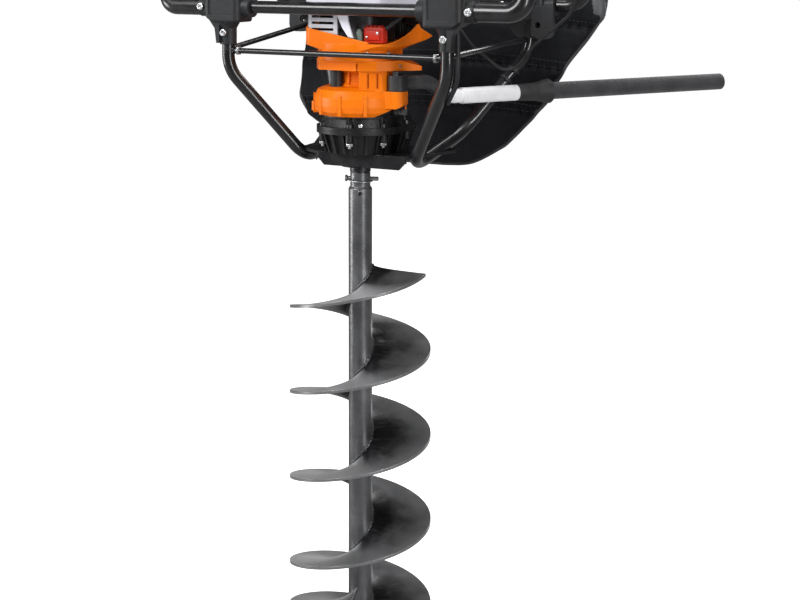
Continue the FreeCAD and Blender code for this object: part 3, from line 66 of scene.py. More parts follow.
class Nodes:
    """A short way to write a material's node tree."""

    def __init__(self, name):
        self.material = bpy.data.materials.new(name)
        self.material.use_nodes = True
        self.tree = self.material.node_tree
        self.shader = self.tree.nodes["Principled BSDF"]
        self.place = self.add("ShaderNodeTexCoord").outputs["Object"]

    def add(self, kind, **settings):
        node = self.tree.nodes.new(kind)
        for key, value in settings.items():
            setattr(node, key, value)
        return node

    def link(self, source, target):
        self.tree.links.new(source, target)

    def noise(self, scale, detail=4.0, roughness=0.6, stretch=None):
        node = self.add("ShaderNodeTexNoise")
        node.inputs["Scale"].default_value = scale
        node.inputs["Detail"].default_value = detail
        node.inputs["Roughness"].default_value = roughness
        place = self.place
        if stretch:
            mapping = self.add("ShaderNodeMapping")
            mapping.inputs["Scale"].default_value = stretch
            self.link(place, mapping.inputs["Vector"])
            place = mapping.outputs["Vector"]
        self.link(place, node.inputs["Vector"])
        return node.outputs["Fac"]

    def ramp(self, source, stops):
        node = self.add("ShaderNodeValToRGB")
        elements = node.color_ramp.elements
        while len(elements) < len(stops):
            elements.new(0.5)
        for element, (at, colour) in zip(elements, stops):
            element.position = at
            element.color = (*colour, 1.0)
        self.link(source, node.inputs["Fac"])
        return node.outputs["Color"]

    def axes(self, vector):
        """The X, Y and Z of a vector."""
        node = self.add("ShaderNodeSeparateXYZ")
        self.link(vector, node.inputs[0])
        return node.outputs

    def levels(self, source, low, high, out_low=0.0, out_high=1.0):
        node = self.add("ShaderNodeMapRange")
        node.inputs["From Min"].default_value = low
        node.inputs["From Max"].default_value = high
        node.inputs["To Min"].default_value = out_low
        node.inputs["To Max"].default_value = out_high
        self.link(source, node.inputs["Value"])
        return node.outputs["Result"]

    def mix(self, factor, first, second):
        node = self.add("ShaderNodeMix", data_type="RGBA")
        for socket, value in ((node.inputs[6], first), (node.inputs[7], second)):
            if isinstance(value, tuple):
                socket.default_value = (*value, 1.0)
            else:
                self.link(value, socket)
        self.link(factor, node.inputs[0])
        return node.outputs[2]

    def maths(self, operation, first, second=None):
        node = self.add("ShaderNodeMath", operation=operation)
        for socket, value in zip(node.inputs, (first, second)):
            if value is None:
                continue
            if isinstance(value, (int, float)):
                socket.default_value = value
            else:
                self.link(value, socket)
        return node.outputs[0]

    def edges(self, radius):
        """1 on convex and concave edges, 0 on open faces; also the rounded normal."""
        bevel = self.add("ShaderNodeBevel", samples=4)
        bevel.inputs["Radius"].default_value = radius
        geometry = self.add("ShaderNodeNewGeometry")
        dot = self.add("ShaderNodeVectorMath", operation="DOT_PRODUCT")
        self.link(bevel.outputs["Normal"], dot.inputs[0])
        self.link(geometry.outputs["Normal"], dot.inputs[1])
        mask = self.levels(dot.outputs["Value"], *EDGE_COSINES)
        return mask, bevel.outputs["Normal"]

    def bump(self, height, strength, distance, normal=None):
        node = self.add("ShaderNodeBump")
        node.inputs["Strength"].default_value = strength
        node.inputs["Distance"].default_value = distance
        self.link(height, node.inputs["Height"])
        if normal is not None:
            self.link(normal, node.inputs["Normal"])
        return node.outputs["Normal"]

    def finish(self, colour, roughness, normal=None, metallic=0.0, **inputs):
        for name, value in (("Base Color", colour), ("Roughness", roughness), ("Metallic", metallic)):
            socket = self.shader.inputs[name]
            if isinstance(value, (int, float)):
                socket.default_value = value
            else:
                self.link(value, socket)
        if normal is not None:
            self.link(normal, self.shader.inputs["Normal"])
        settings = {"Specular IOR Level": 0.3}
        settings.update({name.replace("_", " "): value for name, value in inputs.items()})
        for name, value in settings.items():
            self.shader.inputs[name].default_value = value
        return self.material


def moulded(name, colour, deeper, roughness, edge_colour, edge=0.0006, grain=900.0, grain_depth=0.25,
            coat=0.0, shine=0.3):
    """Injection-moulded plastic: fine grain, slow colour drift, scuffed and paler along its edges."""
    n = Nodes(name)
    drift = n.noise(9.0, 3.0)
    fine = n.noise(grain, 2.0, 0.5)
    scuff = n.noise(160.0, 6.0, 0.7)
    base = n.mix(n.levels(drift, 0.35, 0.65), colour, deeper)
    mask, rounded = n.edges(edge)
    worn = n.maths("MULTIPLY", mask, n.levels(scuff, 0.40, 0.62, 0.15, 0.85))
    base = n.mix(worn, base, edge_colour)
    rough = n.levels(scuff, 0.3, 0.7, roughness - 0.06, roughness + 0.10)
    normal = n.bump(fine, grain_depth, 0.0002, n.bump(drift, 0.10, 0.002, rounded))
    return n.finish(base, rough, normal, Coat_Weight=coat, Coat_Roughness=0.15, Specular_IOR_Level=shine)


def gloss_paint(name, colour, deeper, edge_colour, roughness=0.26, orange_peel=0.10, coat=0.42):
    """Powder-coated tube: glossy, slightly uneven, chipped thin on its edges, with dust in the gloss."""
    n = Nodes(name)
    peel = n.noise(420.0, 2.0, 0.5)
    dust = n.noise(38.0, 7.0, 0.65)
    mask, rounded = n.edges(0.0008)
    chip = n.maths("MULTIPLY", mask, n.levels(n.noise(260.0, 5.0, 0.7), 0.52, 0.60, 0.0, 0.8))
    base = n.mix(n.levels(dust, 0.45, 0.75), colour, deeper)
    base = n.mix(chip, base, edge_colour)
    rough = n.levels(dust, 0.35, 0.75, roughness, roughness + 0.20)
    normal = n.bump(peel, orange_peel, 0.0003, rounded)
    return n.finish(base, rough, normal, Coat_Weight=coat, Coat_Roughness=0.11)


# Radii of the auger's painted light. The painted highlight is full at FLIGHT_RIM. The painted shade at the flights'
# root is full at the first of the pair below and fades out by the second, where the highlight begins.
FLIGHT_RIM = 0.100
ROOT_SHADE_FULL, ROOT_SHADE_END = 0.040, 0.070
FLIGHT_ROOT = (0.0172, 0.0185)


def auger_paint():
    """Dark satin paint on hot-formed steel, rubbed pale along its edges; painted shade darkens it towards the root
    and a painted highlight pales it towards the rim.
    """
    n = Nodes("auger_paint")
    place = n.axes(n.place)
    radius = n.maths("SQRT", n.maths("ADD", *[n.maths("MULTIPLY", place[k], place[k]) for k in (0, 1)]))
    blotch = n.noise(22.0, 6.0, 0.6)
    drag = n.noise(30.0, 3.0, 0.5, stretch=(1.0, 1.0, 14.0))
    speck = n.noise(650.0, 3.0, 0.6)
    mask, rounded = n.edges(0.0012)
    base = n.ramp(blotch, [
        (0.30, (0.105, 0.106, 0.110)),
        (0.55, (0.155, 0.156, 0.161)),
        (0.75, (0.215, 0.216, 0.221)),
    ])
    wander = n.maths("ADD", radius, n.levels(n.noise(28.0, 3.0), 0.3, 0.7, -0.012, 0.012))
    # Painted shade: the flights are darkened towards the shaft.
    root = n.maths("MULTIPLY", n.levels(wander, ROOT_SHADE_END, ROOT_SHADE_FULL), n.levels(radius, *FLIGHT_ROOT))
    base = n.mix(n.maths("MULTIPLY", root, 0.88), base, (0.006, 0.006, 0.007))
    # Painted highlight: the flights are paled towards their rim.
    base = n.mix(n.levels(wander, ROOT_SHADE_END, FLIGHT_RIM, 0.0, 0.55), base, (0.29, 0.29, 0.295))
    base = n.mix(n.levels(drag, 0.56, 0.74, 0.0, 0.30), base, (0.19, 0.19, 0.20))
    rim = n.maths("MULTIPLY", mask, n.levels(n.noise(90.0, 5.0), 0.38, 0.60, 0.2, 0.8))
    base = n.mix(rim, base, (0.36, 0.36, 0.37))
    # Painted reflection: a face that lies flat and is seen along its length is painted pale, standing in for the pale
    # room it would throw back.
    facing = n.add("ShaderNodeLayerWeight")
    facing.inputs["Blend"].default_value = 0.5
    upward = n.axes(n.add("ShaderNodeNewGeometry").outputs["Normal"])[2]
    painted_reflection = n.maths("MULTIPLY", n.levels(facing.outputs["Facing"], 0.66, 0.86), n.levels(upward, 0.5, 0.8))
    base = n.mix(n.maths("MULTIPLY", painted_reflection, 0.92), base, (0.88, 0.88, 0.89))
    rough = n.levels(blotch, 0.3, 0.7, 0.26, 0.42)
    normal = n.bump(speck, 0.25, 0.0003, n.bump(drag, 0.12, 0.0015, rounded))
    return n.finish(base, rough, normal, metallic=0.75)


def bare_metal(name, colour, deeper, roughness, grain=(1.0, 1.0, 40.0), rust=0.0):
    """Turned, ground or plated metal with a direction in its grain."""
    n = Nodes(name)
    lines = n.noise(120.0, 5.0, 0.6, stretch=grain)
    blotch = n.noise(45.0, 5.0, 0.6)
    base = n.mix(n.levels(blotch, 0.35, 0.65), colour, deeper)
    if rust:
        base = n.mix(n.levels(n.noise(70.0, 8.0, 0.7), 0.58, 0.70, 0.0, rust), base, (0.16, 0.07, 0.03))
    _, rounded = n.edges(0.0005)
    rough = n.levels(lines, 0.3, 0.7, roughness, roughness + 0.16)
    return n.finish(base, rough, n.bump(lines, 0.18, 0.0004, rounded), metallic=1.0)


def cast_paint():
    """Black paint over a sand-cast skin: coarse texture, half gloss, dust in the corners."""
    n = Nodes("cast_paint")
    skin = n.noise(300.0, 5.0, 0.6)
    dust = n.noise(60.0, 6.0, 0.7)
    mask, rounded = n.edges(0.0009)
    base = n.mix(n.levels(dust, 0.45, 0.70, 0.0, 0.5), (0.006, 0.006, 0.0065), (0.016, 0.016, 0.017))
    base = n.mix(n.maths("MULTIPLY", mask, n.levels(dust, 0.4, 0.6, 0.1, 0.6)), base, (0.10, 0.10, 0.11))
    rough = n.levels(dust, 0.3, 0.7, 0.34, 0.58)
    return n.finish(base, rough, n.bump(skin, 0.45, 0.0006, rounded))


def foam():
    """Closed-cell foam sleeve: fine open pores, very matt, with a soft sheen."""
    n = Nodes("foam")
    cells = n.add("ShaderNodeTexVoronoi")
    cells.inputs["Scale"].default_value = 700.0
    n.link(n.place, cells.inputs["Vector"])
    blotch = n.noise(30.0, 4.0)
    base = n.mix(n.levels(blotch, 0.35, 0.65), (0.020, 0.020, 0.022), (0.036, 0.036, 0.040))
    rough = n.levels(blotch, 0.3, 0.7, 0.62, 0.80)
    return n.finish(base, rough, n.bump(cells.outputs["Distance"], 0.5, 0.0004), Sheen_Weight=0.15)


def rubber(name="rubber", gloss=0.50):
    """Matt black rubber with a pale bloom and greyed edges."""
    n = Nodes(name)
    fine = n.noise(800.0, 3.0, 0.6)
    bloom = n.noise(26.0, 5.0, 0.6)
    mask, rounded = n.edges(0.0006)
    base = n.mix(n.levels(bloom, 0.4, 0.7), (0.018, 0.018, 0.019), (0.040, 0.040, 0.042))
    base = n.mix(n.levels(mask, 0.0, 1.0, 0.0, 0.35), base, (0.085, 0.085, 0.09))
    rough = n.levels(bloom, 0.3, 0.7, gloss, gloss + 0.18)
    return n.finish(base, rough, n.bump(fine, 0.3, 0.0002, rounded))


WEAVE_PITCH = 0.0016


def woven_cover():
    """Black coated nylon: a basket weave in the bump and gloss, soft folds, lint and sheen."""
    n = Nodes("woven_cover")
    place = n.axes(n.place)
    threads = 2 * math.pi / WEAVE_PITCH
    along_x = n.maths("SINE", n.maths("MULTIPLY", place[0], threads))
    along_z = n.maths("SINE", n.maths("MULTIPLY", place[2], threads))
    weave = n.maths("MULTIPLY", along_x, along_z)
    lint = n.noise(500.0, 4.0, 0.7)
    fold = n.noise(14.0, 4.0, 0.5)
    base = n.mix(n.levels(fold, 0.35, 0.70), (0.0040, 0.0042, 0.0056), (0.0085, 0.0090, 0.0110))
    base = n.mix(n.levels(weave, 0.2, 1.0, 0.0, 0.35), base, (0.014, 0.0145, 0.0175))
    base = n.mix(n.levels(lint, 0.66, 0.80, 0.0, 0.20), base, (0.05, 0.05, 0.055))
    normal = n.bump(weave, 0.35, 0.0003, n.bump(fold, 0.30, 0.004))
    rough = n.levels(weave, -1.0, 1.0, 0.66, 0.50)
    return n.finish(base, rough, normal, Sheen_Weight=0.01, Sheen_Roughness=0.4, Specular_IOR_Level=0.08)


def milky_plastic():
    """The cloudy, slightly see-through plastic of the fuel tank."""
    n = Nodes("milky_plastic")
    haze = n.noise(18.0, 4.0)
    mask, rounded = n.edges(0.001)
    base = n.mix(n.levels(haze, 0.35, 0.65), (0.60, 0.60, 0.55), (0.50, 0.50, 0.46))
    base = n.mix(n.levels(mask, 0.0, 1.0, 0.0, 0.4), base, (0.75, 0.75, 0.70))
    normal = n.bump(n.noise(600.0, 2.0), 0.15, 0.0002, rounded)
    return n.finish(base, 0.42, normal, Subsurface_Weight=0.25, Subsurface_Scale=0.004)


LEVER_WAY = (0.5, 0.866)
SLEEVE_START = (0.1000, 0.1005)


def lever_metal():
    """The lever: black paint on its cranked root, a bright drawn sleeve from there to the boot."""
    n = Nodes("lever_metal")
    place = n.axes(n.place)
    along = n.maths("ADD", *[n.maths("MULTIPLY", place[k], share) for k, share in enumerate(LEVER_WAY)])
    sleeve = n.levels(along, *SLEEVE_START)
    blotch = n.noise(60.0, 5.0)
    lines = n.noise(150.0, 4.0, 0.6, stretch=(1.0, 1.0, 10.0))
    bright = n.mix(n.levels(blotch, 0.35, 0.65), (0.80, 0.80, 0.81), (0.70, 0.70, 0.72))
    dark = n.mix(n.levels(blotch, 0.35, 0.65), (0.020, 0.020, 0.022), (0.038, 0.038, 0.040))
    rough = n.levels(lines, 0.3, 0.7, 0.30, 0.46)
    _, rounded = n.edges(0.0006)
    return n.finish(n.mix(sleeve, dark, bright), rough, n.bump(lines, 0.15, 0.0004, rounded),
                    metallic=n.levels(sleeve, 0.0, 1.0, 0.0, 0.30))


ORANGE = (0.70, 0.150, 0.001)
ORANGE_DEEP = (0.62, 0.118, 0.001)
MATERIALS = {
    "auger_steel": auger_paint(),
    "lever_aluminium": lever_metal(),
    "black_casting": cast_paint(),
    "grip_rubber": rubber(),
    "piping_cord": rubber("piping_cord", 0.42),
    "clear_plastic": milky_plastic(),
    "lever_foam": foam(),
    "cushion_fabric": woven_cover(),
    "black_paint": gloss_paint("black_paint", (0.006, 0.006, 0.007), (0.013, 0.013, 0.015), (0.12, 0.12, 0.13)),
}
# name: colour, its darker patches, roughness, then the direction of the grain and the share of rust.
METALS = {
    "blade_steel": ((0.50, 0.50, 0.51), (0.36, 0.36, 0.37), 0.28, (40.0, 1.0, 1.0), 0.25),
    "zinc_steel": ((0.82, 0.83, 0.84), (0.66, 0.67, 0.68), 0.22),
    "gear_steel": ((0.42, 0.42, 0.43), (0.30, 0.30, 0.31), 0.26, (1.0, 1.0, 8.0)),
    "bare_aluminium": ((0.52, 0.52, 0.53), (0.40, 0.40, 0.41), 0.38, (6.0, 6.0, 6.0)),
    "muffler_steel": ((0.30, 0.27, 0.24), (0.20, 0.17, 0.15), 0.40, (4.0, 4.0, 4.0), 0.5),
    "dark_steel": ((0.10, 0.10, 0.105), (0.055, 0.055, 0.058), 0.34),
    "dull_zinc": ((0.42, 0.42, 0.43), (0.28, 0.28, 0.29), 0.34),
    "sooty_metal": ((0.11, 0.11, 0.115), (0.055, 0.055, 0.06), 0.46, (5.0, 5.0, 5.0), 0.2),
}
# name: colour, its darker patches, roughness, colour of worn edges, then edge radius, scale of the grain, its depth,
# coat and shine.
PLASTICS = {
    "bracket_plastic": ((0.012, 0.0125, 0.0135), (0.020, 0.021, 0.023), 0.46, (0.09, 0.09, 0.10)),
    "handle_plastic": ((0.014, 0.014, 0.016), (0.024, 0.024, 0.027), 0.42, (0.10, 0.10, 0.11)),
    "red_plastic": ((0.55, 0.030, 0.012), (0.45, 0.020, 0.010), 0.34, (0.70, 0.12, 0.06)),
    "orange_plastic": (ORANGE, ORANGE_DEEP, 0.36, (0.95, 0.34, 0.05), 0.0012, 500.0, 0.10, 0.0, 0.16),
    "grey_plastic": ((0.46, 0.46, 0.49), (0.38, 0.38, 0.41), 0.38, (0.66, 0.66, 0.70)),
    "pale_plastic": ((0.62, 0.62, 0.68), (0.54, 0.54, 0.60), 0.34, (0.80, 0.80, 0.84), 0.0006, 900.0, 0.25, 0.2),
    "thread": ((0.030, 0.030, 0.034), (0.022, 0.022, 0.025), 0.6, (0.05, 0.05, 0.05), 0.0002, 3000.0),
    "edge_cloth": ((0.060, 0.062, 0.066), (0.044, 0.046, 0.050), 0.48, (0.10, 0.10, 0.11), 0.001, 700.0, 0.6),
    "green_grey": ((0.16, 0.20, 0.17), (0.11, 0.15, 0.12), 0.40, (0.30, 0.34, 0.30)),
    "cable_sheath": ((0.006, 0.006, 0.007), (0.011, 0.011, 0.012), 0.5, (0.03, 0.03, 0.03)),
}
MATERIALS.update({name: bare_metal(name, *settings) for name, settings in METALS.items()})
MATERIALS.update({name: moulded(name, *settings) for name, settings in PLASTICS.items()})
# The material slot that the record gives each CAD node.
SLOT_OF = {part["node"]: part["material_slot"] for part in frame["record"]["subparts"]}

# Nodes whose metal is darker or duller than the rest of their slot.
FINISH_OF = {
    "output_spindle": "dark_steel",
    "lever_pivot": "dark_steel",
    "gearbox_fasteners": "dark_steel",
    "drive_pin": "dull_zinc",
    "crankcase": "sooty_metal",
    "cylinder": "sooty_metal",
    "carburettor": "sooty_metal",
    "throttle_cable": "cable_sheath",
}

for name, node in NODES.items():
    node.data.materials.clear()
    node.data.materials.append(MATERIALS[FINISH_OF.get(name, SLOT_OF[name])])


# ---- Making pieces ----------------------------------------------------------------------------------
SHARP_ANGLE = math.radians(38)
CURVE_STEPS = 10


def mesh_of(made, name):
    """Turns a finished bmesh into a mesh of that name."""
    mesh = bpy.data.meshes.new(name)
    made.to_mesh(mesh)
    made.free()
    return mesh


def add_piece(name, mesh, finish, body=ROOT):
    """A new object from a mesh already in the row frame, painted and riding on its CAD body."""
    piece = bpy.data.objects.new(name, mesh)
    bpy.context.collection.objects.link(piece)
    mesh.materials.clear()
    mesh.materials.append(MATERIALS[finish])
    mesh.shade_smooth()
    mesh.set_sharp_from_angle(angle=SHARP_ANGLE)
    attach(piece, body)


def applied(obj):
    """The object's mesh with its modifiers applied."""
    graph = bpy.context.evaluated_depsgraph_get()
    return bpy.data.meshes.new_from_object(obj.evaluated_get(graph))


def tube_mesh(points, radius, sides=16, closed=False):
    """A round cord through the points, as a mesh."""
    made = bmesh.new()
    rings = []
    count = len(points)
    side_axis = None
    for k, point in enumerate(points):
        before = points[(k - 1) % count] if closed else points[max(k - 1, 0)]
        after = points[(k + 1) % count] if closed else points[min(k + 1, count - 1)]
        ahead = (Vector(after) - Vector(before)).normalized()
        if side_axis is None:
            side_axis = ahead.orthogonal().normalized()
        side_axis = (side_axis - ahead * side_axis.dot(ahead)).normalized()
        up_axis = ahead.cross(side_axis)
        size = radius(k / (count - 1)) if callable(radius) else radius
        ring = []
        for s in range(sides):
            angle = 2 * math.pi * s / sides
            offset = side_axis * math.cos(angle) * size + up_axis * math.sin(angle) * size
            ring.append(made.verts.new(Vector(point) + offset))
        rings.append(ring)
    pairs = list(zip(rings, rings[1:])) + ([(rings[-1], rings[0])] if closed else [])
    for first, second in pairs:
        for s in range(sides):
            made.faces.new((first[s], first[(s + 1) % sides], second[(s + 1) % sides], second[s]))
    if not closed:
        made.faces.new(list(reversed(rings[0])))
        made.faces.new(rings[-1])
    return mesh_of(made, "tube")


def curve_points(points):
    """A Catmull-Rom curve through the points."""
    path = [Vector(p) for p in points]
    last = len(path) - 1
    made = []
    for k in range(last):
        a, b, c, d = path[max(k - 1, 0)], path[k], path[k + 1], path[min(k + 2, last)]
        for s in range(CURVE_STEPS):
            t = s / CURVE_STEPS
            square, cube = 2 * a - 5 * b + 4 * c - d, 3 * b - a - 3 * c + d
            made.append(0.5 * (2 * b + (c - a) * t + square * t * t + cube * t ** 3))
    made.append(path[-1])
    return made


# ---- Hip cushion ------------------------------------------------------------------------------------
FACE_NORMAL = Vector((0.0, -1.0, 0.33)).normalized()
SEAM_HEIGHTS = (0.775, 0.842, 0.905, 0.962)
COVER_SHRINK = 0.004
COVER_VOXEL = 0.006
COVER_PRESSURE = 4.0
COVER_SWELL = 0.010
CLOTH_FRAMES = 20
RIM_FACING = 0.40
CHANNEL_DEPTH, CHANNEL_WIDTH = 0.0045, 0.0065
STITCH_STEP, STITCH_LENGTH, STITCH_OFFSET, THREAD_R = 0.0060, 0.0038, 0.0042, 0.00055
STITCHES_EACH_SIDE = 41
RIM_SECTORS = 220
CORD_R, ROLL_R = 0.0036, 0.0125


def seam_height(height, x):
    """The height of a sewn channel at x: it bows up towards the middle."""
    return height + 0.010 * math.cos(x * 7.0)


def soft_copy(node, name):
    """A remeshed copy of a plain CAD solid, pulled in a little so that it can swell."""
    piece = bpy.data.objects.new(name, NODES[node].data.copy())
    bpy.context.collection.objects.link(piece)
    remesh = piece.modifiers.new("remesh", "REMESH")
    remesh.mode = "VOXEL"
    remesh.voxel_size = COVER_VOXEL
    piece.data = applied(piece)
    piece.modifiers.clear()
    starts = [v.co - v.normal * COVER_SHRINK for v in piece.data.vertices]
    for vertex, place in zip(piece.data.vertices, starts):
        vertex.co = place
    return piece


def inflate(piece, pressure, cap):
    """Blows the cover up with the cloth solver; its rim is held by the seam, and no point moves past the cap."""
    starts = [v.co.copy() for v in piece.data.vertices]
    rim = [v.index for v in piece.data.vertices if abs(v.normal.dot(FACE_NORMAL)) < RIM_FACING]
    piece.vertex_groups.new(name="seam").add(rim, 1.0, "REPLACE")
    cloth = piece.modifiers.new("cloth", "CLOTH")
    settings = cloth.settings
    settings.vertex_group_mass = "seam"
    settings.use_pressure = True
    settings.uniform_pressure_force = pressure
    settings.effector_weights.gravity = 0.0
    settings.quality = 5
    settings.tension_stiffness = 10
    settings.bending_stiffness = 0.4
    scene = bpy.context.scene
    for step in range(1, CLOTH_FRAMES + 1):
        scene.frame_set(step)
    graph = bpy.context.evaluated_depsgraph_get()
    swollen = [v.co.copy() for v in piece.evaluated_get(graph).data.vertices]
    piece.modifiers.clear()
    scene.frame_set(1)
    for vertex, start, end in zip(piece.data.vertices, starts, swollen):
        move = end - start
        if move.length > cap:
            move *= cap / move.length
        vertex.co = start + move


def sew(piece, depth, width):
    """Draws the faces in along the sewn channels and puckers the cloth beside them."""
    piece.data.update()
    moves = []
    for vertex in piece.data.vertices:
        facing = vertex.normal.dot(FACE_NORMAL)
        pull = 0.0
        for height in SEAM_HEIGHTS:
            away = (vertex.co.z - seam_height(height, vertex.co.x)) / width
            pucker = 1.0 + 0.35 * math.sin(vertex.co.x * 420.0 + height * 50.0)
            pull += depth * pucker * math.exp(-away * away)
        wrinkle = 0.0011 * noise.noise(vertex.co * 32.0) + 0.0006 * noise.noise(vertex.co * 90.0)
        moves.append(vertex.normal * (wrinkle - pull * abs(facing)))
    for vertex, move in zip(piece.data.vertices, moves):
        vertex.co += move


def finish_soft(piece, slot):
    """Paints a soft piece and fixes it to the power head."""
    piece.data.materials.clear()
    piece.data.materials.append(MATERIALS[slot])
    for polygon in piece.data.polygons:
        polygon.use_smooth = True
    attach(piece, ROOT)


def surface_point(tree, x, z, side):
    """Where the line through (x, z) along the face normal meets the cover, from the front (1) or rear (-1)."""
    across = FACE_NORMAL * side
    start = Vector((x, 0.245 + 0.33 * (z - 0.85), z)) + across * 0.2
    hit, normal, _, _ = tree.ray_cast(start, -across)
    return hit, normal


def stitches(tree):
    """Rows of thread, one either side of every sewn channel, on both faces."""
    made = bmesh.new()
    for side in (1, -1):
        for height in SEAM_HEIGHTS:
            for row in (-STITCH_OFFSET, STITCH_OFFSET):
                for k in range(-STITCHES_EACH_SIDE, STITCHES_EACH_SIDE + 1):
                    x = k * STITCH_STEP
                    z = seam_height(height, x) + row
                    first, normal = surface_point(tree, x, z, side)
                    second, _ = surface_point(tree, x + STITCH_LENGTH, z, side)
                    if first is None or second is None or (second - first).length > 0.006:
                        continue
                    lift = normal * 0.0003
                    middle = (first + second) / 2 + normal * 0.0009
                    part = tube_mesh([first - lift, middle, second - lift], THREAD_R, 5)
                    made.from_mesh(part)
                    bpy.data.meshes.remove(part)
    add_piece("cushion_stitching", mesh_of(made, "cushion_stitching"), "thread")


def piping(cover_mesh):
    """The corded seam round the rim of the cushion."""
    centre = Vector((0.0, 0.0, 0.86))
    best = [None] * RIM_SECTORS
    for place in [v.co.copy() for v in cover_mesh.vertices]:
        offset = Vector((place.x, 0.0, place.z)) - centre
        turn = (math.atan2(offset.z, offset.x) + math.pi) / (2 * math.pi)
        sector = int(turn * RIM_SECTORS) % RIM_SECTORS
        if best[sector] is None or offset.length > best[sector][0]:
            best[sector] = (offset.length, place)
    path = [entry[1].copy() for entry in best if entry]
    for _ in range(3):
        path = [(path[k - 1] + path[k] * 2 + path[(k + 1) % len(path)]) / 4 for k in range(len(path))]
    add_piece("cushion_piping", tube_mesh(path, CORD_R, 10, closed=True), "piping_cord")


def roll_radius(t):
    """The roll is full along its middle, closes at both ends and is slightly puckered."""
    return ROLL_R * max(0.05, 1 - (2 * t - 1) ** 8) ** 0.5 + 0.0004 * math.sin(t * 70)


def edge_rolls():
    """A padded roll down each upper side of the cushion."""
    for name, way in (("right", 1), ("left", -1)):
        path = []
        for k in range(25):
            t = k / 24
            z = 0.912 + 0.080 * t
            path.append((way * (0.2475 + 0.002 * math.sin(t * 9)), 0.2705 + 0.245 * (z - 0.912), z))
        add_piece("edge_roll_" + name, tube_mesh(path, roll_radius, 20), "edge_cloth")


def cushion():
    """The swollen, sewn cover that stands for the plain CAD cushion, with its trim."""
    piece = soft_copy("hip_cushion", "hip_cushion_cover")
    inflate(piece, COVER_PRESSURE, COVER_SWELL)
    smooth = piece.modifiers.new("smooth", "SMOOTH")
    smooth.factor = 0.5
    smooth.iterations = 4
    sub = piece.modifiers.new("sub", "SUBSURF")
    sub.levels = sub.render_levels = 1
    piece.data = applied(piece)
    piece.modifiers.clear()
    sew(piece, CHANNEL_DEPTH, CHANNEL_WIDTH)
    finish_soft(piece, "cushion_fabric")
    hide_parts("hip_cushion")
    piece.data.update()
    points = [v.co.copy() for v in piece.data.vertices]
    tree = BVHTree.FromPolygons(points, [p.vertices[:] for p in piece.data.polygons])
    stitches(tree)
    piping(piece.data)
    edge_rolls()


cushion()


# ---- Auger details ----------------------------------------------------------------------------------
PITCH = 0.120
TUBE_R = 0.01685
BEAD_FOOT_DEG, BEAD_TOP_DEG, BEAD_FOOT_Z = -174.0, 1460.0, 0.025
BEAD_STEP_DEG = 4
BEAD_OFFSET = 0.0030


def weld_bead(name, above):
    """The fillet weld along the root of the main flight, laid as a rippled cord."""
    points = []
    steps = int((BEAD_TOP_DEG - BEAD_FOOT_DEG) / BEAD_STEP_DEG)
    for k in range(steps + 1):
        degrees = BEAD_FOOT_DEG + (BEAD_TOP_DEG - BEAD_FOOT_DEG) * k / steps
        angle = math.radians(degrees)
        radius = TUBE_R + 0.0008
        z = BEAD_FOOT_Z + (degrees - BEAD_FOOT_DEG) / 360 * PITCH + above
        points.append((radius * math.cos(angle), radius * math.sin(angle), z))
    mesh = tube_mesh(points, lambda t: 0.0021 + 0.0004 * math.sin(t * steps * 2.1), 8)
    add_piece(name, mesh, "auger_steel", "auger")


weld_bead("weld_bead_top", BEAD_OFFSET)
weld_bead("weld_bead_under", -BEAD_OFFSET)


# ---- Small parts ------------------------------------------------------------------------------------
def revolved(parts, sides=24):
    """Turned shapes as one mesh. Each part is (profile of (radius, height), place, axis, corners or 0)."""
    made = bmesh.new()
    for profile, place, axis, corners in parts:
        turn = Vector(axis).to_track_quat("Z", "Y")
        rings = []
        for size, height in profile:
            ring = []
            for k in range(sides):
                angle = 2 * math.pi * k / sides
                reach = size
                if corners and size > 0:
                    share = (angle % (2 * math.pi / corners)) - math.pi / corners
                    reach = size * math.cos(math.pi / corners) / math.cos(share)
                spot = Vector((reach * math.cos(angle), reach * math.sin(angle), height))
                ring.append(made.verts.new(Vector(place) + turn @ spot))
            rings.append(ring)
        for first, second in zip(rings, rings[1:]):
            for k in range(sides):
                made.faces.new((first[k], first[(k + 1) % sides], second[(k + 1) % sides], second[k]))
        made.faces.new(list(reversed(rings[0])))
        made.faces.new(rings[-1])
    return mesh_of(made, "revolved")


def screw_profile(radius):
    """A pan head with a recess in its crown."""
    return [(radius, 0), (radius, radius * 0.35), (radius * 0.86, radius * 0.62), (radius * 0.52, radius * 0.72),
            (radius * 0.46, radius * 0.25), (radius * 0.05, radius * 0.22)]


def screws(name, spots, finish="zinc_steel", radius=3.2 * MM):
    """Screw heads as one piece; each spot is (place, outward axis)."""
    add_piece(name, revolved([(screw_profile(radius), place, axis, 0) for place, axis in spots]), finish)


def blocks(name, boxes, bevel, finish):
    """Rounded blocks joined in one mesh; each box is x0, x1, y0, y1, z0, z1 in millimetres."""
    made = bmesh.new()
    for x0, x1, y0, y1, z0, z1 in boxes:
        corners = bmesh.ops.create_cube(made, size=1.0)["verts"]
        for corner in corners:
            corner.co = Vector((
                (x0 + (corner.co.x + 0.5) * (x1 - x0)) * MM,
                (y0 + (corner.co.y + 0.5) * (y1 - y0)) * MM,
                (z0 + (corner.co.z + 0.5) * (z1 - z0)) * MM,
            ))
        edges = list({edge for corner in corners for edge in corner.link_edges})
        bmesh.ops.bevel(made, geom=edges, offset=bevel * MM, segments=3, profile=0.5, affect="EDGES")
    add_piece(name, mesh_of(made, name), finish)


def hose(name, points, radius, finish):
    """A flexible line through points in millimetres."""
    path = curve_points([Vector(p) * MM for p in points])
    add_piece(name, tube_mesh(path, radius * MM, 14), finish)


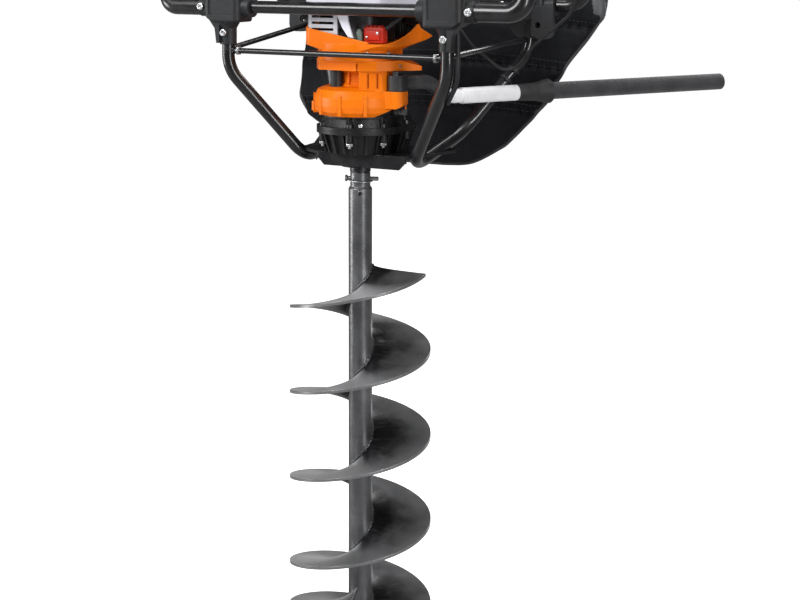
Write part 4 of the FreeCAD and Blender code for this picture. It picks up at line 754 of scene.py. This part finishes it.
def engine_bay():
    """What shows in the open bay between the bowl and the top cover."""
    ribs = [(29 + 7 * k, 32 + 7 * k, -37, -25, 910, 913.5) for k in range(4)]
    blocks("ignition_module", [(27, 58, -38, -24, 889, 911), (31, 54, -41, -37, 893, 907)] + ribs, 1.2, "red_plastic")
    screws("module_screws", [(Vector((34, -41, 897)) * MM, (0, -1, 0)), (Vector((51, -41, 903)) * MM, (0, -1, 0))],
           radius=2.2 * MM)
    body = [(0.1, 0), (4.6, 0), (4.6, 15), (4.2, 16), (3.2, 16.4), (3.2, 18.5), (2.4, 19), (0.1, 19)]
    body = [(size * MM, height * MM) for size, height in body]
    add_piece("condenser", revolved([(body, Vector((21.5, -40, 889)) * MM, (0, 0, 1), 0)]), "green_grey")
    hose("ignition_lead", [(57, -30, 908), (70, -4, 926), (68, 30, 944), (50, 60, 948), (43, 88, 944),
                           (36, 112, 934), (14, 130, 938), (0, 136, 946)], 2.8, "grip_rubber")
    hose("fuel_hose", [(60, 121, 1008), (64, 134, 1000), (67, 136, 975), (66, 122, 940), (62, 98, 926),
                       (58, 76, 922)], 2.6, "grip_rubber")
    hose("module_wire", [(24, -40, 907), (26, -44, 914), (32, -40, 912)], 1.0, "grip_rubber")


def housing_screws():
    """Screw heads on the cover, the bowl, the waist and the gearbox, and nuts under its bosses."""
    spots = [(Vector((x, -54, 988)) * MM, (0, -1, 0)) for x in (-46, 46)]
    spots += [(Vector((x, y, 1000)) * MM, (0, 0, 1)) for x, y in ((-70, 42), (72, 36), (-60, 56))]
    for degrees in (-128, -96, -52, -20):
        angle = math.radians(degrees)
        way = Vector((math.cos(angle), math.sin(angle), 0))
        spots.append((way * 60 * MM + Vector((0, 0, 874 * MM)), way))
    screws("housing_screws", spots)
    screws("waist_screws", [
        (Vector((28, -47.5, 856)) * MM, (0.2, -1, 0)),
        (Vector((72, -14.0, 857)) * MM, (0.75, -0.66, 0)),
    ], "blade_steel", 2.6 * MM)
    screws("case_screw", [(Vector((27.8, -48.1, 774)) * MM, (0.5, -0.87, 0))], radius=3.4 * MM)
    nut = [(2.0, 0), (4.6, 0), (5.4, 0.8), (5.4, 3.6), (4.6, 4.4), (2.4, 4.4), (2.4, 7.0), (1.6, 7.6), (0.1, 7.6)]
    nut = [(size * MM, height * MM) for size, height in nut]
    spots = ((-36, -43, 750), (14, -54.5, 750), (50, -23, 750))
    add_piece("case_nuts", revolved([(nut, Vector(spot) * MM, (0, 0, -1), 6) for spot in spots], 36), "zinc_steel")


LEG_X, FRONT_Y, ROD_Z = 0.176, -0.073, 0.874
ROD_END_X = 0.156
WELD_RING_R, WELD_BEAD_R = 0.0046, 0.0016


def rod_ends():
    """Nuts and weld rings where the brace rods meet the frame tubes."""
    nut = [(2.0, 0), (5.4, 0), (6.4, 0.8), (6.4, 4.2), (5.4, 5), (2.0, 5)]
    nut = [(size * MM, height * MM) for size, height in nut]
    parts = [(nut, (way * ROD_END_X, FRONT_Y, ROD_Z), (way, 0, 0), 6) for way in (1, -1)]
    add_piece("rod_nuts", revolved(parts, 36), "dull_zinc")
    made = bmesh.new()
    rings = []
    for way in (1, -1):
        rings.append((Vector((way * (LEG_X - 0.0085), FRONT_Y, ROD_Z)), Vector((1, 0, 0))))
        rings.append((Vector((way * LEG_X, FRONT_Y + 0.0085, ROD_Z + 0.0024)), Vector((0, 1, 0))))
    for centre, axis in rings:
        side = axis.orthogonal().normalized()
        up = axis.cross(side)
        path = []
        for k in range(28):
            angle = 2 * math.pi * k / 28
            out = side * math.cos(angle) + up * math.sin(angle)
            path.append(centre + out * WELD_RING_R + axis * 0.0005 * math.sin(angle * 5))
        bead = tube_mesh(path, WELD_BEAD_R, 8, closed=True)
        made.from_mesh(bead)
        bpy.data.meshes.remove(bead)
    add_piece("rod_welds", mesh_of(made, "rod_welds"), "black_paint")


def leg_centre(height):
    """Centre of the straight part of the right rear leg at a height, and its direction."""
    foot, head = Vector((0.108, 0.112, 0.756)), Vector((0.176, 0.190, 0.870))
    return foot.lerp(head, (height - foot.z) / (head.z - foot.z)), (head - foot).normalized()


# radius and place along the leg of each corner of a cable tie's section
TIE_SECTION = ((0.0092, -0.0018), (0.0104, -0.0016), (0.0104, 0.0016), (0.0092, 0.0018))
TIE_HEIGHTS = (0.829, 0.842)


def cable_ties():
    """Nylon ties that hold the throttle cable's sheath to the rear leg."""
    for number, height in enumerate(TIE_HEIGHTS):
        centre, along = leg_centre(height)
        side = along.cross(Vector((0, 0, 1))).normalized()
        up = along.cross(side)
        made = bmesh.new()
        rings = []
        for k in range(32):
            angle = 2 * math.pi * k / 32
            out = side * math.cos(angle) + up * math.sin(angle)
            rings.append([made.verts.new(centre + out * r + along * a) for r, a in TIE_SECTION])
        for first, second in zip(rings, rings[1:] + rings[:1]):
            for k in range(4):
                made.faces.new((first[k], first[(k + 1) % 4], second[(k + 1) % 4], second[k]))
        add_piece(f"cable_tie_{number}", mesh_of(made, "tie"), "bracket_plastic")
        head = [(0.1, 0), (3.4, 0), (3.4, 4.4), (2.8, 5.2), (0.1, 5.2)]
        head = [(size * MM, height * MM) for size, height in head]
        out = Vector((0.55, -0.83, 0.1)).normalized()
        add_piece(f"tie_head_{number}", revolved([(head, centre + out * 0.0096, out, 4)], 32), "bracket_plastic")


def leg_conduit():
    """The sheathed brake wire that comes out of the right front block and runs down beside its leg."""
    hose("brake_conduit", [(189, -70, 914), (189.5, -70, 890), (189.5, -70, 862), (186, -67, 842), (175, -60, 824),
                           (164, -50, 812)], 3.4, "bracket_plastic")


def starter_rope():
    """The cord from the starter's pulley to the pull handle. At rest it is inside the handle's own short stub."""
    path = [Vector((-26, y, 986)) * MM for y in range(-35, -67, -1)]
    rope = bpy.data.objects.new("starter_rope", tube_mesh(path, 1.7 * MM, 12))
    bpy.context.collection.objects.link(rope)
    rope.data.materials.append(MATERIALS["cable_sheath"])
    rope.data.shade_smooth()
    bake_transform(rope)


engine_bay()
housing_screws()
leg_conduit()
starter_rope()
rod_ends()
cable_ties()

# ---- Stage ------------------------------------------------------------------------------------------
VIEW_AZIMUTH = math.radians(30)
CAMERA_DISTANCE = 2.383
CAMERA_HEIGHT = 1.032
SHIFT_X, SHIFT_Y = 0.0496, -0.45
SAME_HEIGHT = 0.001
FLOOR_GLOW = 0.75
WORLD_FILL = 0.38
WORLD_IN_GLOSS = 0.07
FLOOR_IN_GLOSS = 0.35


def by_ray(tree, seen, otherwise, in_gloss):
    """One value for what the camera sees directly, one for reflections, and one for every other ray."""
    path = tree.nodes.new("ShaderNodeLightPath")
    first, second = tree.nodes.new("ShaderNodeMix"), tree.nodes.new("ShaderNodeMix")
    first.inputs[2].default_value = otherwise
    first.inputs[3].default_value = in_gloss
    second.inputs[3].default_value = seen
    tree.links.new(path.outputs["Is Glossy Ray"], first.inputs[0])
    tree.links.new(first.outputs[0], second.inputs[2])
    tree.links.new(path.outputs["Is Camera Ray"], second.inputs[0])
    return second.outputs[0]


def stage_floor():
    """A pale floor that the camera sees as white."""
    made = bmesh.new()
    bmesh.ops.create_grid(made, x_segments=8, y_segments=8, size=40.0)
    mesh = mesh_of(made, "floor")
    floor = bpy.data.objects.new("floor", mesh)
    bpy.context.collection.objects.link(floor)
    n = Nodes("floor")
    drift = n.noise(0.6, 2.0)
    n.shader.inputs["Emission Color"].default_value = (1.0, 1.0, 1.0, 1.0)
    n.link(by_ray(n.tree, FLOOR_GLOW, 0.0, 0.0), n.shader.inputs["Emission Strength"])
    pale = n.mix(drift, (0.72, 0.72, 0.72), (0.68, 0.68, 0.68))
    shade = by_ray(n.tree, 1.0, 0.8, FLOOR_IN_GLOSS)
    n.finish(n.mix(shade, (0.0, 0.0, 0.0), pale), 0.9)
    mesh.materials.append(n.material)


def area_light(name, place, target, size, power):
    """A soft light at place, turned towards target."""
    data = bpy.data.lights.new(name, "AREA")
    data.shape = "RECTANGLE"
    data.size, data.size_y = size
    data.energy = power
    light = bpy.data.objects.new(name, data)
    light.location = place
    light.rotation_mode = "QUATERNION"
    light.rotation_quaternion = (Vector(target) - Vector(place)).to_track_quat("-Z", "Y")
    bpy.context.collection.objects.link(light)


def studio():
    """White surroundings and five soft lights."""
    world = bpy.data.worlds.new("studio")
    world.use_nodes = True
    background = world.node_tree.nodes["Background"]
    background.inputs["Color"].default_value = (1.0, 1.0, 1.0, 1.0)
    tree = world.node_tree
    tree.links.new(by_ray(tree, 1.0, WORLD_FILL, WORLD_IN_GLOSS), background.inputs["Strength"])
    bpy.context.scene.world = world
    area_light("key", (-1.3, -2.6, 2.3), (0, 0, 0.8), (1.3, 1.3), 95.0)
    area_light("right_strip", (2.6, -1.4, 1.5), (0, 0, 0.75), (0.35, 2.2), 60.0)
    area_light("overhead", (0.2, 0.2, 3.1), (0, 0, 0.8), (1.6, 1.6), 55.0)
    area_light("rear", (0.6, 3.0, 1.8), (0, 0, 0.8), (1.4, 1.4), 60.0)
    area_light("low_left", (-2.6, -1.2, 0.4), (0, 0, 0.4), (0.8, 1.2), 35.0)


def main_camera():
    """The camera of the photograph. Its lens shift is keyed to its own height, so a camera moved to another view
    has none and keeps the object in the middle."""
    data = bpy.data.cameras.new("camera")
    data.lens, data.sensor_width = 75.6, 36.0
    data.clip_start, data.clip_end = 0.05, 100.0
    camera = bpy.data.objects.new("camera", data)
    camera.location = (
        math.sin(VIEW_AZIMUTH) * CAMERA_DISTANCE,
        -math.cos(VIEW_AZIMUTH) * CAMERA_DISTANCE,
        CAMERA_HEIGHT,
    )
    camera.rotation_euler = (math.pi / 2, 0, VIEW_AZIMUTH)
    bpy.context.collection.objects.link(camera)
    bpy.context.scene.camera = camera
    for channel, shift in (("shift_x", SHIFT_X), ("shift_y", SHIFT_Y)):
        curve = data.driver_add(channel)
        for modifier in list(curve.modifiers):
            curve.modifiers.remove(modifier)
        curve.driver.type = "AVERAGE"
        height = curve.driver.variables.new()
        height.type = "TRANSFORMS"
        height.targets[0].id = camera
        height.targets[0].transform_type = "LOC_Z"
        steps = ((0.0, 0.0), (CAMERA_HEIGHT - SAME_HEIGHT, shift), (CAMERA_HEIGHT + SAME_HEIGHT, 0.0))
        curve.keyframe_points.add(len(steps))
        for key, step in zip(curve.keyframe_points, steps):
            key.co = step
            key.interpolation = "CONSTANT"


stage_floor()
studio()
main_camera()
bpy.context.scene.view_settings.view_transform = "Standard"
